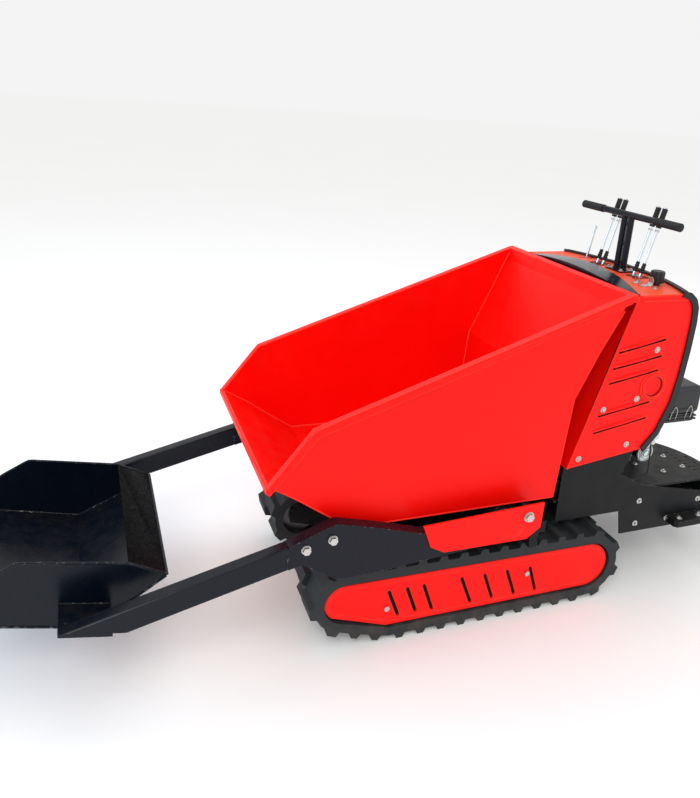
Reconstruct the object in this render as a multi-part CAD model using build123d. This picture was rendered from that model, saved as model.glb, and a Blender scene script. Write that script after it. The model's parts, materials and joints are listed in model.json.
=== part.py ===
from build123d import *

import math
import os

# Power wheelbarrow with a front loader. Millimetres, +X forward, +Y left, +Z up, ground at z = 0.

# overall
ROW_SHIFT = -238.0            # moves the machine so that its box is centred on X
TRACK_HALF = 350.0            # half of the width over the two tracks

# tracks
TRACK_IN = 150.0              # inner edge of a belt
SPROCKET = (-341.0, 136.0)    # x, z of the driven wheel
IDLER = (537.0, 165.0)        # x, z of the front wheel
SPROCKET_R = 88.0             # inner radius of the belt round the sprocket
IDLER_R = 69.0                # inner radius of the belt round the idler
FLAT_END = 395.0              # where the belt leaves the ground
BELT_SKIN = 31.0
LUG_HEIGHT = 17.0
LUG_COUNT = 31
ROLLER_X = (-110.0, 190.0)
ROLLER_R = 28.0
RUN_GAP = 0.4                 # wheel to belt
FIT = 0.08                    # radial clearance of a shaft that turns in a hole

# loader
LIFT_PIVOT = (20.0, 382.0)
ARM_IN = 372.0
ARM_OUT = 412.0
ARM_SHEET = 6.0
ARM_BOLTS = ((614.0, 446.0), (691.0, 427.0))
SHAFT_R = 30.0
SHAFT_END_R = 20.0
CRANK_Y = 70.0
CRANK_R = 80.0                # lift pin to lift pivot, at rest
LIFT_ANCHOR = (-340.0, 215.0)
BUCKET_HALF = 290.0
BUCKET_SHEET = 6.0

# skip
TIP_PIVOT = (490.0, 400.0)
TIP_PIN = (300.0, 400.0)      # x, z of the ram's pin under the floor, at rest
TIP_ANCHOR = (150.0, 110.0)
SKIP_HALF = 345.0
SKIP_SHEET = 4.0
RIM_WIDTH = 19.0

# pins of the rams
PIN_R = 9.0

# rear
COWL_HALF = 322.0
COWL_SHEET = 3.0
CONSOLE_TOP = 1090.0
DECK_TOP = 380.0
CRANK_Z = 486.0
PLATFORM_HINGE = (-878.0, 262.0)
PLATFORM_R = 355.0
PLATFORM_TOP = 250.0
BAR_X = -557.0
BAR_Z = 1287.0
BAR_HALF = 248.0
LEVER_Y = (-120.0, -88.0, 80.0, 112.0)
LEVER_PIVOT = (-530.0, 1000.0)
LEVER_LEAN = 13.7             # degrees back from upright
THROTTLE = (-557.0, -200.0, 1050.0)

os.makedirs("parts", exist_ok=True)


def save(shape, node):
    """Move a shape into the row frame and write it."""
    moved = Pos(ROW_SHIFT, 0, 0) * shape
    export_step(moved, "parts/" + node + ".step")


def slab(points, y_low, y_high):
    """A side outline of (x, z) points, thick between two values of y."""
    face = make_face(Polyline(*points, close=True))
    solid = extrude(Plane.XZ * face, amount=y_high - y_low)
    return Pos(0, y_high, 0) * solid


def block(x_low, x_high, y_low, y_high, z_low, z_high):
    """A box between two values on each axis."""
    size = Box(x_high - x_low, y_high - y_low, z_high - z_low)
    return Pos((x_low + x_high) / 2, (y_low + y_high) / 2, (z_low + z_high) / 2) * size


def round_y(x, z, radius, y_low, y_high):
    """A round bar along Y."""
    return Pos(x, (y_low + y_high) / 2, z) * Rot(90, 0, 0) * Cylinder(radius, y_high - y_low)


def round_x(y, z, radius, x_low, x_high):
    """A round bar along X."""
    return Pos((x_low + x_high) / 2, y, z) * Rot(0, 90, 0) * Cylinder(radius, x_high - x_low)


def round_z(x, y, radius, z_low, z_high):
    """A round bar along Z."""
    return Pos(x, y, (z_low + z_high) / 2) * Cylinder(radius, z_high - z_low)


def flip(shape):
    """The same shape on the other side of the machine."""
    return mirror(shape, about=Plane.XZ)


def side_pair(shape):
    """A shape and its mirror image, as one compound of separate solids."""
    return Compound(list(shape.solids()) + list(flip(shape).solids()))


def group(shapes):
    """Separate solids in one node."""
    solids = []
    for shape in shapes:
        solids.extend(shape.solids())
    return Compound(solids)


def hexagon_y(x, z, across, y_low, y_high):
    """A hexagonal bolt head that points along Y."""
    head = extrude(RegularPolygon(across / 2, 6, major_radius=False), amount=y_high - y_low)
    return Pos(x, y_high, z) * Rot(90, 0, 0) * head


def aimed(start, end, radius, first, last, y):
    """A round bar in a plane of constant y along a line from start, between two distances."""
    angle = math.atan2(end[1] - start[1], end[0] - start[0])
    middle = (first + last) / 2
    x = start[0] + middle * math.cos(angle)
    z = start[1] + middle * math.sin(angle)
    return Pos(x, y, z) * Rot(0, 90 - math.degrees(angle), 0) * Cylinder(radius, last - first)


# ------------------------------------------------------------------ tracks

def tangent_angle(first, second):
    """Direction normal to the outer tangent line of two circles, on their right-hand side."""
    dx = second[0] - first[0]
    dz = second[1] - first[1]
    distance = math.hypot(dx, dz)
    base = math.atan2(dz, dx)
    return (base - math.pi / 2 + math.asin((first[2] - second[2]) / distance)) % (2 * math.pi)


def belt_stations(offset, step):
    """Points of the belt's inner face pushed out by offset, with their outward directions."""
    rear = (SPROCKET[0], SPROCKET[1], SPROCKET_R)
    front = (IDLER[0], IDLER[1], IDLER_R)
    base_z = SPROCKET[1] - SPROCKET_R
    foot = (FLAT_END, base_z)
    # the ramp: a line from the foot that touches the idler's circle from below
    dx = front[0] - foot[0]
    dz = front[1] - foot[1]
    distance = math.hypot(dx, dz)
    slope = math.atan2(dz, dx) - math.asin(front[2] / distance)
    top = tangent_angle((front[0], front[1], front[2]), (rear[0], rear[1], rear[2]))
    pieces = []
    pieces.append(("line", (rear[0], base_z), foot, -math.pi / 2))
    ramp_normal = slope - math.pi / 2
    touch = (front[0] + front[2] * math.cos(ramp_normal), front[1] + front[2] * math.sin(ramp_normal))
    pieces.append(("line", foot, touch, ramp_normal))
    pieces.append(("arc", front, ramp_normal, top))
    high = (front[0] + front[2] * math.cos(top), front[1] + front[2] * math.sin(top))
    back = (rear[0] + rear[2] * math.cos(top), rear[1] + rear[2] * math.sin(top))
    pieces.append(("line", high, back, top))
    pieces.append(("arc", rear, top, 1.5 * math.pi))
    walk = []
    for piece in pieces:
        if piece[0] == "line":
            length = math.hypot(piece[2][0] - piece[1][0], piece[2][1] - piece[1][1])
        else:
            length = piece[1][2] * (piece[3] - piece[2])
        walk.append((piece, length))
    return walk


def belt_point(walk, where, offset):
    """The point at a distance along the inner face, pushed out by offset."""
    total = sum(length for piece, length in walk)
    rest = where % total
    for piece, length in walk:
        if rest <= length:
            break
        rest -= length
    share = rest / length
    if piece[0] == "line":
        x = piece[1][0] + share * (piece[2][0] - piece[1][0])
        z = piece[1][1] + share * (piece[2][1] - piece[1][1])
        angle = piece[3]
    else:
        angle = piece[2] + share * (piece[3] - piece[2])
        x = piece[1][0] + piece[1][2] * math.cos(angle)
        z = piece[1][1] + piece[1][2] * math.sin(angle)
    return (x + offset * math.cos(angle), z + offset * math.sin(angle))


def belt_outline(walk, shift):
    """The outside of half a belt, with its lugs, as (x, z) points."""
    total = sum(length for piece, length in walk)
    pitch = total / LUG_COUNT
    points = []
    for count in range(LUG_COUNT):
        start = (count + shift) * pitch
        points.append(belt_point(walk, start - 0.23 * pitch, BELT_SKIN))
        points.append(belt_point(walk, start - 0.14 * pitch, BELT_SKIN + LUG_HEIGHT))
        points.append(belt_point(walk, start + 0.14 * pitch, BELT_SKIN + LUG_HEIGHT))
        points.append(belt_point(walk, start + 0.23 * pitch, BELT_SKIN))
        points.append(belt_point(walk, start + 0.50 * pitch, BELT_SKIN))
    return points


def inner_outline(walk, grow):
    """The inside of a belt as (x, z) points, pushed out by grow."""
    total = sum(length for piece, length in walk)
    points = []
    for piece, length in walk:
        if piece[0] == "line":
            continue
        sweep = piece[3] - piece[2]
        steps = 28
        for count in range(steps + 1):
            angle = piece[2] + sweep * count / steps
            radius = (piece[1][2] + grow) / math.cos(sweep / steps / 2) if grow >= 0 else piece[1][2] + grow
            points.append((piece[1][0] + radius * math.cos(angle), piece[1][1] + radius * math.sin(angle)))
    foot = belt_point(walk, walk[0][1] - 0.01, grow)
    return [foot] + points


WALK = belt_stations(0, 0)
inner = inner_outline(WALK, 0.15)
middle_y = (TRACK_IN + TRACK_HALF) / 2
half_a = slab(belt_outline(WALK, 0.0), TRACK_IN, middle_y)
half_b = slab(belt_outline(WALK, 0.5), middle_y, TRACK_HALF)
belt = half_a + half_b - slab(inner, TRACK_IN - 1, TRACK_HALF + 1)
save(belt, "track_belt_left")
save(flip(belt), "track_belt_right")

# side plates of a track frame carry the axles of the rollers and of the front wheel
PLATE_IN = (164.0, 172.0)
PLATE_OUT = (318.0, 326.0)
frame_side = [
    (-300.0, 100.0), (-150.0, 62.0), (380.0, 62.0), (500.0, 118.0), (575.0, 140.0),
    (575.0, 190.0), (500.0, 205.0), (-250.0, 200.0), (-300.0, 178.0),
]
eye = [(-390.0, 136.0), (-376.0, 171.0), (-341.0, 186.0), (-270.0, 186.0), (-270.0, 86.0), (-341.0, 86.0),
       (-376.0, 101.0)]
inner_plate = slab(frame_side, *PLATE_IN) + slab(eye, *PLATE_IN)
inner_plate -= round_y(SPROCKET[0], SPROCKET[1], 34.0, 160, 176)
outer_plate = slab(frame_side, *PLATE_OUT) + slab(eye, *PLATE_OUT)
outer_plate -= round_y(SPROCKET[0], SPROCKET[1], 20.0 + FIT, 310, 330)
axles = round_y(IDLER[0], IDLER[1], 15.0, PLATE_IN[1], PLATE_OUT[0])
for roller_x in ROLLER_X:
    axles += round_y(roller_x, SPROCKET[1] - SPROCKET_R + ROLLER_R + RUN_GAP, 10.0, PLATE_IN[1], PLATE_OUT[0])
for tie_x in (-200.0, 40.0, 350.0):
    axles += round_y(tie_x, 150.0, 16.0, PLATE_IN[1], PLATE_OUT[0])
track_frame = inner_plate + outer_plate + axles
for boss_x in (-60.0, 290.0):
    track_frame += block(boss_x - 40, boss_x + 40, 146.0, PLATE_IN[0], 110, 190)
save(track_frame, "track_frame_left")
save(flip(track_frame), "track_frame_right")

# driven wheel, front wheel and rollers
sprocket = round_y(*SPROCKET, 66.0, 186, 306)
sprocket += round_y(*SPROCKET, 40.0, 174, 186)
sprocket += round_y(*SPROCKET, 20.0, 306, 326)
sprocket += round_y(*SPROCKET, 20.0, 150, 174)
for tooth in range(9):
    turn = math.radians(40.0 * tooth)
    tip_x = SPROCKET[0] + 70.0 * math.cos(turn)
    tip_z = SPROCKET[1] + 70.0 * math.sin(turn)
    sprocket += round_y(tip_x, tip_z, SPROCKET_R - RUN_GAP - 70.0, 190, 302)
save(sprocket, "sprocket_left")
save(flip(sprocket), "sprocket_right")

idler = round_y(*IDLER, IDLER_R - RUN_GAP, 180, 230) + round_y(*IDLER, IDLER_R - RUN_GAP, 262, 312)
idler += round_y(*IDLER, 50.0, 230, 262)
idler -= round_y(*IDLER, 15.0 + FIT, 170, 320)
idler -= round_y(*IDLER, 44.0, 178, 188) - round_y(*IDLER, 26.0, 178, 188)
idler -= round_y(*IDLER, 44.0, 304, 314) - round_y(*IDLER, 26.0, 304, 314)
save(idler, "idler_left")
save(flip(idler), "idler_right")

for count, roller_x in enumerate(ROLLER_X):
    roller_z = SPROCKET[1] - SPROCKET_R + ROLLER_R + RUN_GAP
    roller = round_y(roller_x, roller_z, ROLLER_R, 180, 225) + round_y(roller_x, roller_z, ROLLER_R, 267, 312)
    roller += round_y(roller_x, roller_z, 20.0, 225, 267)
    roller -= round_y(roller_x, roller_z, 10.0 + FIT, 170, 320)
    place = ("rear", "front")[count]
    save(roller, "roller_" + place + "_left")
    save(flip(roller), "roller_" + place + "_right")

# hydraulic motors behind the driven wheels
motor = round_y(*SPROCKET, 34.0, 120, 172) + round_y(*SPROCKET, 50.0, 112, 156)
motor += block(-385, -297, 84, 112, 96, 176)
motor -= round_y(*SPROCKET, 20.0 + FIT, 148, 180)
save(side_pair(motor), "drive_motors")

# painted cover inside the belt, with slots that lean forward
COVER = (336.0, 344.0)
cover_outline = []
for count in range(13):
    turn = math.radians(98.0 + 172.0 * count / 12)
    cover_outline.append((-341.0 + 81.0 * math.cos(turn), 136.0 + 82.0 * math.sin(turn)))
cover_outline.append((401.0, 54.0))
for count in range(11):
    turn = math.radians(-52.0 + 140.0 * count / 10)
    cover_outline.append((545.0 + 60.0 * math.cos(turn), 166.0 + 60.0 * math.sin(turn)))
cover = slab(cover_outline, *COVER)
cover = fillet(cover.faces().sort_by(Axis.Y)[-1].edges(), 2.0)
SLOTS = ((358, 80, 398, 182), (298, 82, 336, 182), (240, 77, 279, 182), (101, 74, 146, 181),
         (21, 75, 62, 178), (-63, 73, -22, 177), (-145, 72, -110, 174))
for x_low, z_low, x_high, z_high in SLOTS:
    length = math.hypot(x_high - x_low, z_high - z_low)
    lean = math.degrees(math.atan2(x_high - x_low, z_high - z_low))
    slot = extrude(SlotOverall(length, 12.0, rotation=90.0 - lean), amount=20)
    slot = Pos((x_low + x_high) / 2, 350, (z_low + z_high) / 2) * Rot(90, 0, 0) * slot
    cover -= slot
save(cover, "track_cover_left")
save(flip(cover), "track_cover_right")

# ------------------------------------------------------------------ chassis

# The frame is welded from bars that touch face to face, so each bar is a solid of its own.
RAIL_Y = (112.0, 146.0)
BEAM_Y = (300.0, 340.0)
bars = [block(-820, 515, *RAIL_Y, 250, 330)]
bars.append(block(-100, -20, *RAIL_Y, 105, 250))
bars.append(block(250, 330, *RAIL_Y, 105, 250))
bars.append(block(-150, 515, *BEAM_Y, 300, 340))
bars.append(block(-820, -790, RAIL_Y[1], 290, 250, 330))
bars.append(block(465, 515, RAIL_Y[1], BEAM_Y[0], 300, 340))
bars.append(block(-160, -120, RAIL_Y[1], BEAM_Y[0], 318, 345))
bars.append(block(-470, -430, RAIL_Y[1], 290, 300, 345))
# bearing of the lift shaft
bearing = block(-26, 66, 302, 338, 340, 382) + round_y(*LIFT_PIVOT, 42.0, 302, 338)
bearing -= round_y(*LIFT_PIVOT, SHAFT_R + FIT, 300, 340)
bars.append(bearing)
# lug of the skip's pivot
lug = slab([(466, 340), (514, 340), (512, 402), (500, 423), (480, 423), (468, 402)], 240, 256)
lug -= round_y(*TIP_PIVOT, 12.0 + FIT, 238, 258)
bars.append(lug)
# ears of the lift rams
for gap in (-1, 1):
    ear_y = CRANK_Y + gap * 20.0
    ear = slab([(-372, 300), (-318, 300), (-316, 200), (-340, 190), (-364, 200)], ear_y - 5, ear_y + 5)
    ear -= round_y(*LIFT_ANCHOR, PIN_R + FIT, ear_y - 6, ear_y + 6)
    bars.append(ear)
# rear stay of the arm guard
bars.append(block(-69, -40, BEAM_Y[1], 414, 305, 424))
# side plate and ear of the skip's ram
bars.append(block(110, 190, 100, RAIL_Y[0], 72, 260))
ram_ear = slab([(122, 72), (178, 72), (166, 124), (150, 132), (134, 124)], 31, 41)
ram_ear -= round_y(*TIP_ANCHOR, PIN_R + FIT, 29, 43)
bars.append(ram_ear)
bars += [flip(bar) for bar in bars]
# bars that cross the middle
for x_low, x_high, z_low, z_high in ((465, 515, 300, 340), (-160, -120, 318, 345), (-470, -430, 300, 345),
                                     (-820, -790, 290, 330), (-372, -318, 300, 312), (110, 190, 60, 72)):
    bars.append(block(x_low, x_high, -RAIL_Y[0], RAIL_Y[0], z_low, z_high))
save(group(bars), "chassis_frame")

# deck under the engine and the rear wall
deck = block(-850, -200, -294, 294, DECK_TOP - 8, DECK_TOP)
deck += block(-850, -844, -294, 294, 206, DECK_TOP - 8)
for side in (-1, 1):
    for post_x in (-455.0, -805.0):
        low, high = sorted((side * 200.0, side * 240.0))
        top = 345.0 if post_x > -500 else 330.0
        deck += block(post_x - 12, post_x + 12, low, high, top, DECK_TOP - 8)
    for ear_y in (75.0, 150.0):
        low, high = sorted((side * ear_y, side * (ear_y + 12.0)))
        ear = slab([(-850, 240), (-850, 284), (-870, 280), (-890, 274), (-894, 262), (-888, 250)], low, high)
        deck += ear
deck -= round_y(*PLATFORM_HINGE, 6.0 + FIT, -300, 300)
save(deck, "engine_deck")

side_outline = [(-850, 206), (-500, 206), (-480, 300), (-215, 300), (-215, 504), (-224, 508),
                (-500, 549), (-458, 448), (-560, 392), (-850, 330)]
side_plate = slab(side_outline, 294, 300)
wing = [(-850, 300), (-700, 300), (-700, 340), (-712, 350), (-850, 350)]
wing_face = make_face(Polyline(*wing, close=True))
side_plate += Pos(0, 0, 226) * extrude(wing_face, amount=24)
save(side_pair(side_plate), "rear_side_plates")

# plates outside the loader arms
GUARD = (414.0, 422.0)
guard_outline = [(338, 446), (309, 372), (264, 347), (-22, 345), (-68, 380), (-71, 466)]
guard = slab(guard_outline, *GUARD)
guard = fillet(guard.faces().sort_by(Axis.Y)[-1].edges(), 1.5)
guard -= round_y(*LIFT_PIVOT, SHAFT_END_R + FIT, 400, 430)
save(guard, "arm_guard_left")
save(flip(guard), "arm_guard_right")

# ------------------------------------------------------------------ loader

tube_line = -0.258
tube_low = 376.0 - tube_line * 708.0


def tube_z(x, height):
    """Height of a line along the front arm, above its lower edge."""
    return tube_low + tube_line * x + height


tube = slab([(742, tube_z(742, 0)), (1165, 258), (1324, 289), (742, tube_z(742, 72.5))], ARM_IN, ARM_OUT)
tube = fillet(tube.edges().filter_by(lambda e: e.length > 380), 5.0)
spigot = slab([(588, tube_z(588, 9)), (742, tube_z(742, 9)), (742, tube_z(742, 64)), (588, tube_z(588, 64))],
              ARM_IN + ARM_SHEET, ARM_OUT - ARM_SHEET)
tube += spigot
for bolt_x, bolt_z in ARM_BOLTS:
    tube -= round_y(bolt_x, bolt_z, 8.0, ARM_IN - 1, ARM_OUT + 1)
tube += slab([(1205, 255.6), (1337, 281.0), (1337, 292.6), (1205, 266.9)], BUCKET_HALF, ARM_OUT)
save(tube, "loader_tube_left")
save(flip(tube), "loader_tube_right")

arm_outline = [(20, 348), (344, 322), (480, 311), (596, 310), (650, 346), (700, 378), (740, 368),
               (740, tube_z(740, 72.5)), (628, 486), (600, 493), (464, 457), (333, 417), (20, 416)]
arm = slab(arm_outline, ARM_IN, ARM_OUT) + round_y(*LIFT_PIVOT, 34.0, ARM_IN, ARM_OUT)
hollow = [(70, 357), (344, 330), (480, 319), (592, 318), (646, 353), (700, 385), (760, tube_z(760, 9)),
          (760, tube_z(760, 64)), (626, 478), (602, 484), (466, 449), (335, 409), (70, 408)]
arm -= slab(hollow, ARM_IN + ARM_SHEET, ARM_OUT - ARM_SHEET)
arm -= round_y(*LIFT_PIVOT, SHAFT_END_R, ARM_IN - 1, ARM_OUT + 1)
for bolt_x, bolt_z in ARM_BOLTS:
    arm -= round_y(bolt_x, bolt_z, 8.0, ARM_IN - 1, ARM_OUT + 1)
save(arm, "lift_arm_left")
save(flip(arm), "lift_arm_right")

bolts = []
for side in (-1, 1):
    for bolt_x, bolt_z in ARM_BOLTS:
        low, high = sorted((side * ARM_IN, side * ARM_OUT))
        bolt = round_y(bolt_x, bolt_z, 8.0, low, high)
        low, high = sorted((side * ARM_OUT, side * (ARM_OUT + 3)))
        bolt += round_y(bolt_x, bolt_z, 14.0, low, high)
        low, high = sorted((side * (ARM_OUT + 3), side * (ARM_OUT + 13)))
        bolt += hexagon_y(bolt_x, bolt_z, 21.0, low, high)
        bolts.append(bolt)
save(group(bolts), "loader_bolts")

# shaft that joins the arms, with a slotted crank for each ram
CRANK_SLOT = 13.4
shaft = round_y(*LIFT_PIVOT, SHAFT_R, -371.5, 371.5)
shaft += round_y(*LIFT_PIVOT, SHAFT_END_R, -GUARD[1], GUARD[1])
for side in (-1, 1):
    centre = side * CRANK_Y
    for gap in (-1, 1):
        low = centre + gap * 21.0 - 6.0
        crank = block(20 - 24, 20 + 24, low, low + 12, 382 - 104, 382)
        crank += round_y(20, 382 - 96, 24.0, low, low + 12)
        shaft += crank
shaft -= block(20 - CRANK_SLOT, 20 + CRANK_SLOT, -100, 100, 382 - 94, 382 - 66)
shaft -= round_y(20, 382 - 94, CRANK_SLOT, -100, 100)
shaft -= round_y(20, 382 - 67.5, CRANK_SLOT, -100, 100)
save(shaft, "lift_shaft")

# bucket
side_shape = [(1051, 330), (1155, 387), (1430, 437), (1517, 391), (1612, 300), (1612, 279.6), (1288, 205),
              (1141, 271)]
inner_shape = [(1020, 351), (1143, 277.6), (1289.3, 211.9), (1640, 292.6), (1640, 600), (1020, 600)]
bucket = slab(side_shape, -BUCKET_HALF, BUCKET_HALF)
bucket -= slab(inner_shape, -BUCKET_HALF + BUCKET_SHEET, BUCKET_HALF - BUCKET_SHEET)
save(bucket, "bucket")
blade = slab([(1540, 250.5), (1620, 268.9), (1631, 284), (1612, 279.6), (1540, 263.0)], -BUCKET_HALF, BUCKET_HALF)
save(blade, "bucket_edge")

# ------------------------------------------------------------------ skip

outline = [(-318, 1102), (662, 760), (789, 602), (702, 547), (602, 475), (537, 431), (-154, 431), (-178, 770),
           (-244, 920), (-311, 1058)]
hollow = [(-600, 1400), (900, 1400), (900, 676), (700.2, 550.6), (599.6, 478.3), (535.7, 435), (-150.2, 435),
          (-174.1, 771.2), (-240.3, 921.7), (-307.2, 1059.2), (-318, 1115)]
skip = slab(outline, -SKIP_HALF, SKIP_HALF)
skip -= slab(hollow, -SKIP_HALF + SKIP_SHEET, SKIP_HALF - SKIP_SHEET)
for side in (-1, 1):
    low, high = sorted((side * SKIP_HALF, side * (SKIP_HALF + RIM_WIDTH)))
    rim = slab([(-322, 1103.4), (663, 762), (792, 602), (774, 590), (649, 740), (-322, 1078)], low, high)
    skip += rim
    # pivot lugs under the floor
    for lug_y in (222.0, 259.0):
        low, high = sorted((side * lug_y, side * (lug_y + 15.0)))
        lug = slab([(452, 431), (528, 431), (512, 386), (500, 377), (480, 377), (468, 386)], low, high)
        skip += lug
    # stiffening ribs under the floor
    low, high = sorted((side * 180.0, side * 190.0))
    skip += slab([(-120, 431), (440, 431), (430, 418), (-110, 418)], low, high)
# rolled rear rim and folded front lip
skip += slab([(-317, 1101.9), (-336, 1106), (-340, 1098), (-338, 1082), (-314, 1083.2)], -364, 364)
skip += slab([(786, 603), (796, 601), (797, 588), (783, 579), (776, 590)], -364, 364)
# slotted lug of the skip's ram
TIP_SLOT = 11.6
for side in (-1, 1):
    low, high = sorted((side * 15.0, side * 27.0))
    lug = slab([(278, 431), (338, 431), (338, 380), (278, 380)], low, high)
    skip += lug
skip -= block(294, 319, -40, 40, 400 - TIP_SLOT, 400 + TIP_SLOT)
skip -= round_y(294.5, 400, TIP_SLOT, -40, 40)
skip -= round_y(318.5, 400, TIP_SLOT, -40, 40)
skip -= round_y(*TIP_PIVOT, 12.0, -280, 280)
save(skip, "skip_body")

pins = []
for side in (-1, 1):
    low, high = sorted((side * 218.0, side * 278.0))
    pins.append(round_y(*TIP_PIVOT, 12.0, low, high))
save(group(pins), "skip_pins")


def ram_barrel(anchor, pin, length, radius, bore, y):
    """The outer tube of a ram with its bearing eye and its pin."""
    tube = aimed(anchor, pin, radius, 34.0, length, y) - aimed(anchor, pin, bore, 44.0, length + 1, y)
    tube += aimed(anchor, pin, 12.0, 10.0, 36.0, y)
    gland = aimed(anchor, pin, radius + 4.0, length - 26.0, length, y)
    gland -= aimed(anchor, pin, bore, 40.0, length + 1, y)
    tube += gland
    tube += round_y(anchor[0], anchor[1], 20.0, y - 13, y + 13)
    tube += round_y(anchor[0], anchor[1], PIN_R, y - 30, y + 30)
    return tube


def ram_rod(anchor, pin, start, rod_radius, head_radius, y, pin_half):
    """The rod of a ram with its piston, its eye and its pin."""
    reach = math.hypot(pin[0] - anchor[0], pin[1] - anchor[1])
    rod = aimed(anchor, pin, rod_radius, start, reach - 6.0, y)
    rod += aimed(anchor, pin, head_radius, start, start + 20.0, y)
    rod += round_y(pin[0], pin[1], 17.0, y - 13, y + 13)
    rod += round_y(pin[0], pin[1], PIN_R, y - pin_half, y + pin_half)
    return rod


LIFT_PIN = (LIFT_PIVOT[0], LIFT_PIVOT[1] - CRANK_R)
lift_barrels = []
lift_rods = []
for side in (-1, 1):
    lift_barrels.append(ram_barrel(LIFT_ANCHOR, LIFT_PIN, 300.0, 24.0, 19.0, side * CRANK_Y))
    lift_rods.append(ram_rod(LIFT_ANCHOR, LIFT_PIN, 60.0, 11.0, 18.9, side * CRANK_Y, 29.0))
save(group(lift_barrels), "lift_barrels")
save(group(lift_rods), "lift_rods")
save(ram_barrel(TIP_ANCHOR, TIP_PIN, 285.0, 26.0, 20.0, 0.0), "tip_barrel")
save(ram_rod(TIP_ANCHOR, TIP_PIN, 50.0, 12.0, 19.9, 0.0, 29.0), "tip_rod")

# ------------------------------------------------------------------ cowl and console

cowl_side = [(-381, 1090), (-550, 1090), (-577, 1083), (-597, 1066), (-609, 1040), (-614, 990), (-612, 900),
             (-605, 800), (-590, 709), (-548, 607), (-500, 552), (-211, 512)]


def top_front(y):
    """Front edge of the console's top."""
    return -437.0 + 48.0 * (y / COWL_HALF) ** 2


def top_rear(y):
    """Rear edge of the console's top."""
    return -628.0 + 70.0 * (y / COWL_HALF) ** 2


side = slab(cowl_side, COWL_HALF - COWL_SHEET, COWL_HALF)
cowl = side + flip(side)
plan = []
for count in range(13):
    y = -COWL_HALF + 2 * COWL_HALF * count / 12
    plan.append((top_front(y), y))
for count in range(13):
    y = COWL_HALF - 2 * COWL_HALF * count / 12
    plan.append((top_rear(y), y))
cowl += Pos(0, 0, CONSOLE_TOP - COWL_SHEET) * extrude(make_face(Polyline(*plan, close=True)), amount=COWL_SHEET)
inside = COWL_HALF - COWL_SHEET
cowl += slab([(-437, 1087), (-441, 1087), (-219, 508), (-215, 508)], -inside, inside)
# turned-in flange along the rear edge
rear_edge = cowl_side[1:11]
for side in (-1, 1):
    low, high = sorted((side * (inside - 14), side * inside))
    flange = [(x, z) for x, z in rear_edge] + [(x + 4, z + 1) for x, z in reversed(rear_edge)]
    cowl += slab(flange, low, high)
# louvres: a slot under a pressed lip
LOUVRES = ((-339, 906, -518, 942), (-327, 852, -513, 886), (-319, 802, -509, 837), (-300, 691, -499, 726),
           (-292, 632, -497, 669))
for x_front, z_front, x_rear, z_rear in LOUVRES:
    slot = [(x_front, z_front - 6), (x_rear, z_rear - 6), (x_rear, z_rear + 4), (x_front, z_front + 4)]
    cowl -= slab(slot, inside - 5, COWL_HALF + 5)
    cowl -= slab(slot, -COWL_HALF - 5, -inside + 5)
    lip = [(x_front, z_front + 4), (x_rear, z_rear + 4), (x_rear + 6, z_rear + 9), (x_front - 6, z_front + 9)]
    cowl += slab(lip, inside, COWL_HALF + 4) + slab(lip, -COWL_HALF - 4, -inside)
# round opening with a collar
for side in (-1, 1):
    low, high = sorted((side * inside, side * (COWL_HALF + 5)))
    cowl += round_y(-500, 779, 44.0, low, high)
    cowl -= round_y(-500, 779, 36.0, low - 2, high + 2)
# lever slots and holes in the top
for y in LEVER_Y:
    cowl -= block(-582, -528, y - 8, y + 8, 1080, 1095)
cowl -= block(THROTTLE[0] - 38, THROTTLE[0] + 28, THROTTLE[1] - 7, THROTTLE[1] + 7, 1080, 1095)
cowl -= round_z(-541, 206, 12.5, 1080, 1095)
save(cowl, "cowl")

# rubber edge
grown = [(-552, 1099), (-581, 1093), (-606, 1073), (-620, 1043), (-625, 990), (-623, 899), (-616, 798),
         (-600, 704), (-557, 601), (-508, 541)]
shrunk = [(-546, 1081), (-571, 1074), (-588, 1059), (-598, 1036), (-602, 990), (-600, 901), (-593, 802),
          (-579, 713), (-540, 614), (-494, 559)]
trim = slab(grown + list(reversed(shrunk)), COWL_HALF - 5, COWL_HALF + 6)
trim = trim + flip(trim)
band = []
for count in range(13):
    y = -COWL_HALF + 2 * COWL_HALF * count / 12
    band.append((top_rear(y) - 9, y))
for count in range(13):
    y = COWL_HALF - 2 * COWL_HALF * count / 12
    band.append((top_rear(y) + 9, y))
trim += Pos(0, 0, CONSOLE_TOP - 10) * extrude(make_face(Polyline(*band, close=True)), amount=18)
trim -= cowl
save(trim, "cowl_trim")

# dark crescent hood between skip and console
plan = []
for count in range(13):
    y = -300.0 + 600.0 * count / 12
    plan.append((top_front(y) + 0.5, y))
plan += [(-388, 303), (-362, 250), (-350, 160), (-350, -160), (-362, -250), (-388, -303)]
hood = Pos(0, 0, 1068) * extrude(make_face(Polyline(*plan, close=True)), amount=70)
hood &= round_x(0, 1118 - 1515, 1515.0, -460, -330)
hood -= cowl
hood = hood.solids().sort_by(SortBy.VOLUME)[-1]
save(hood, "dash_hood")

# handlebar
bar = round_y(BAR_X, BAR_Z, 11.6, -BAR_HALF, BAR_HALF)
for y in (-17.0, 17.0):
    bar += round_z(BAR_X, y, 11.0, 1090, BAR_Z)
bar += block(BAR_X - 28, BAR_X + 28, -42, 42, 1090, 1096)
for side in (-1, 1):
    low, high = sorted((side * (BAR_HALF - 112), side * (BAR_HALF + 2)))
    bar += round_y(BAR_X, BAR_Z, 12.5, low, high)
save(bar, "handlebar")

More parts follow.
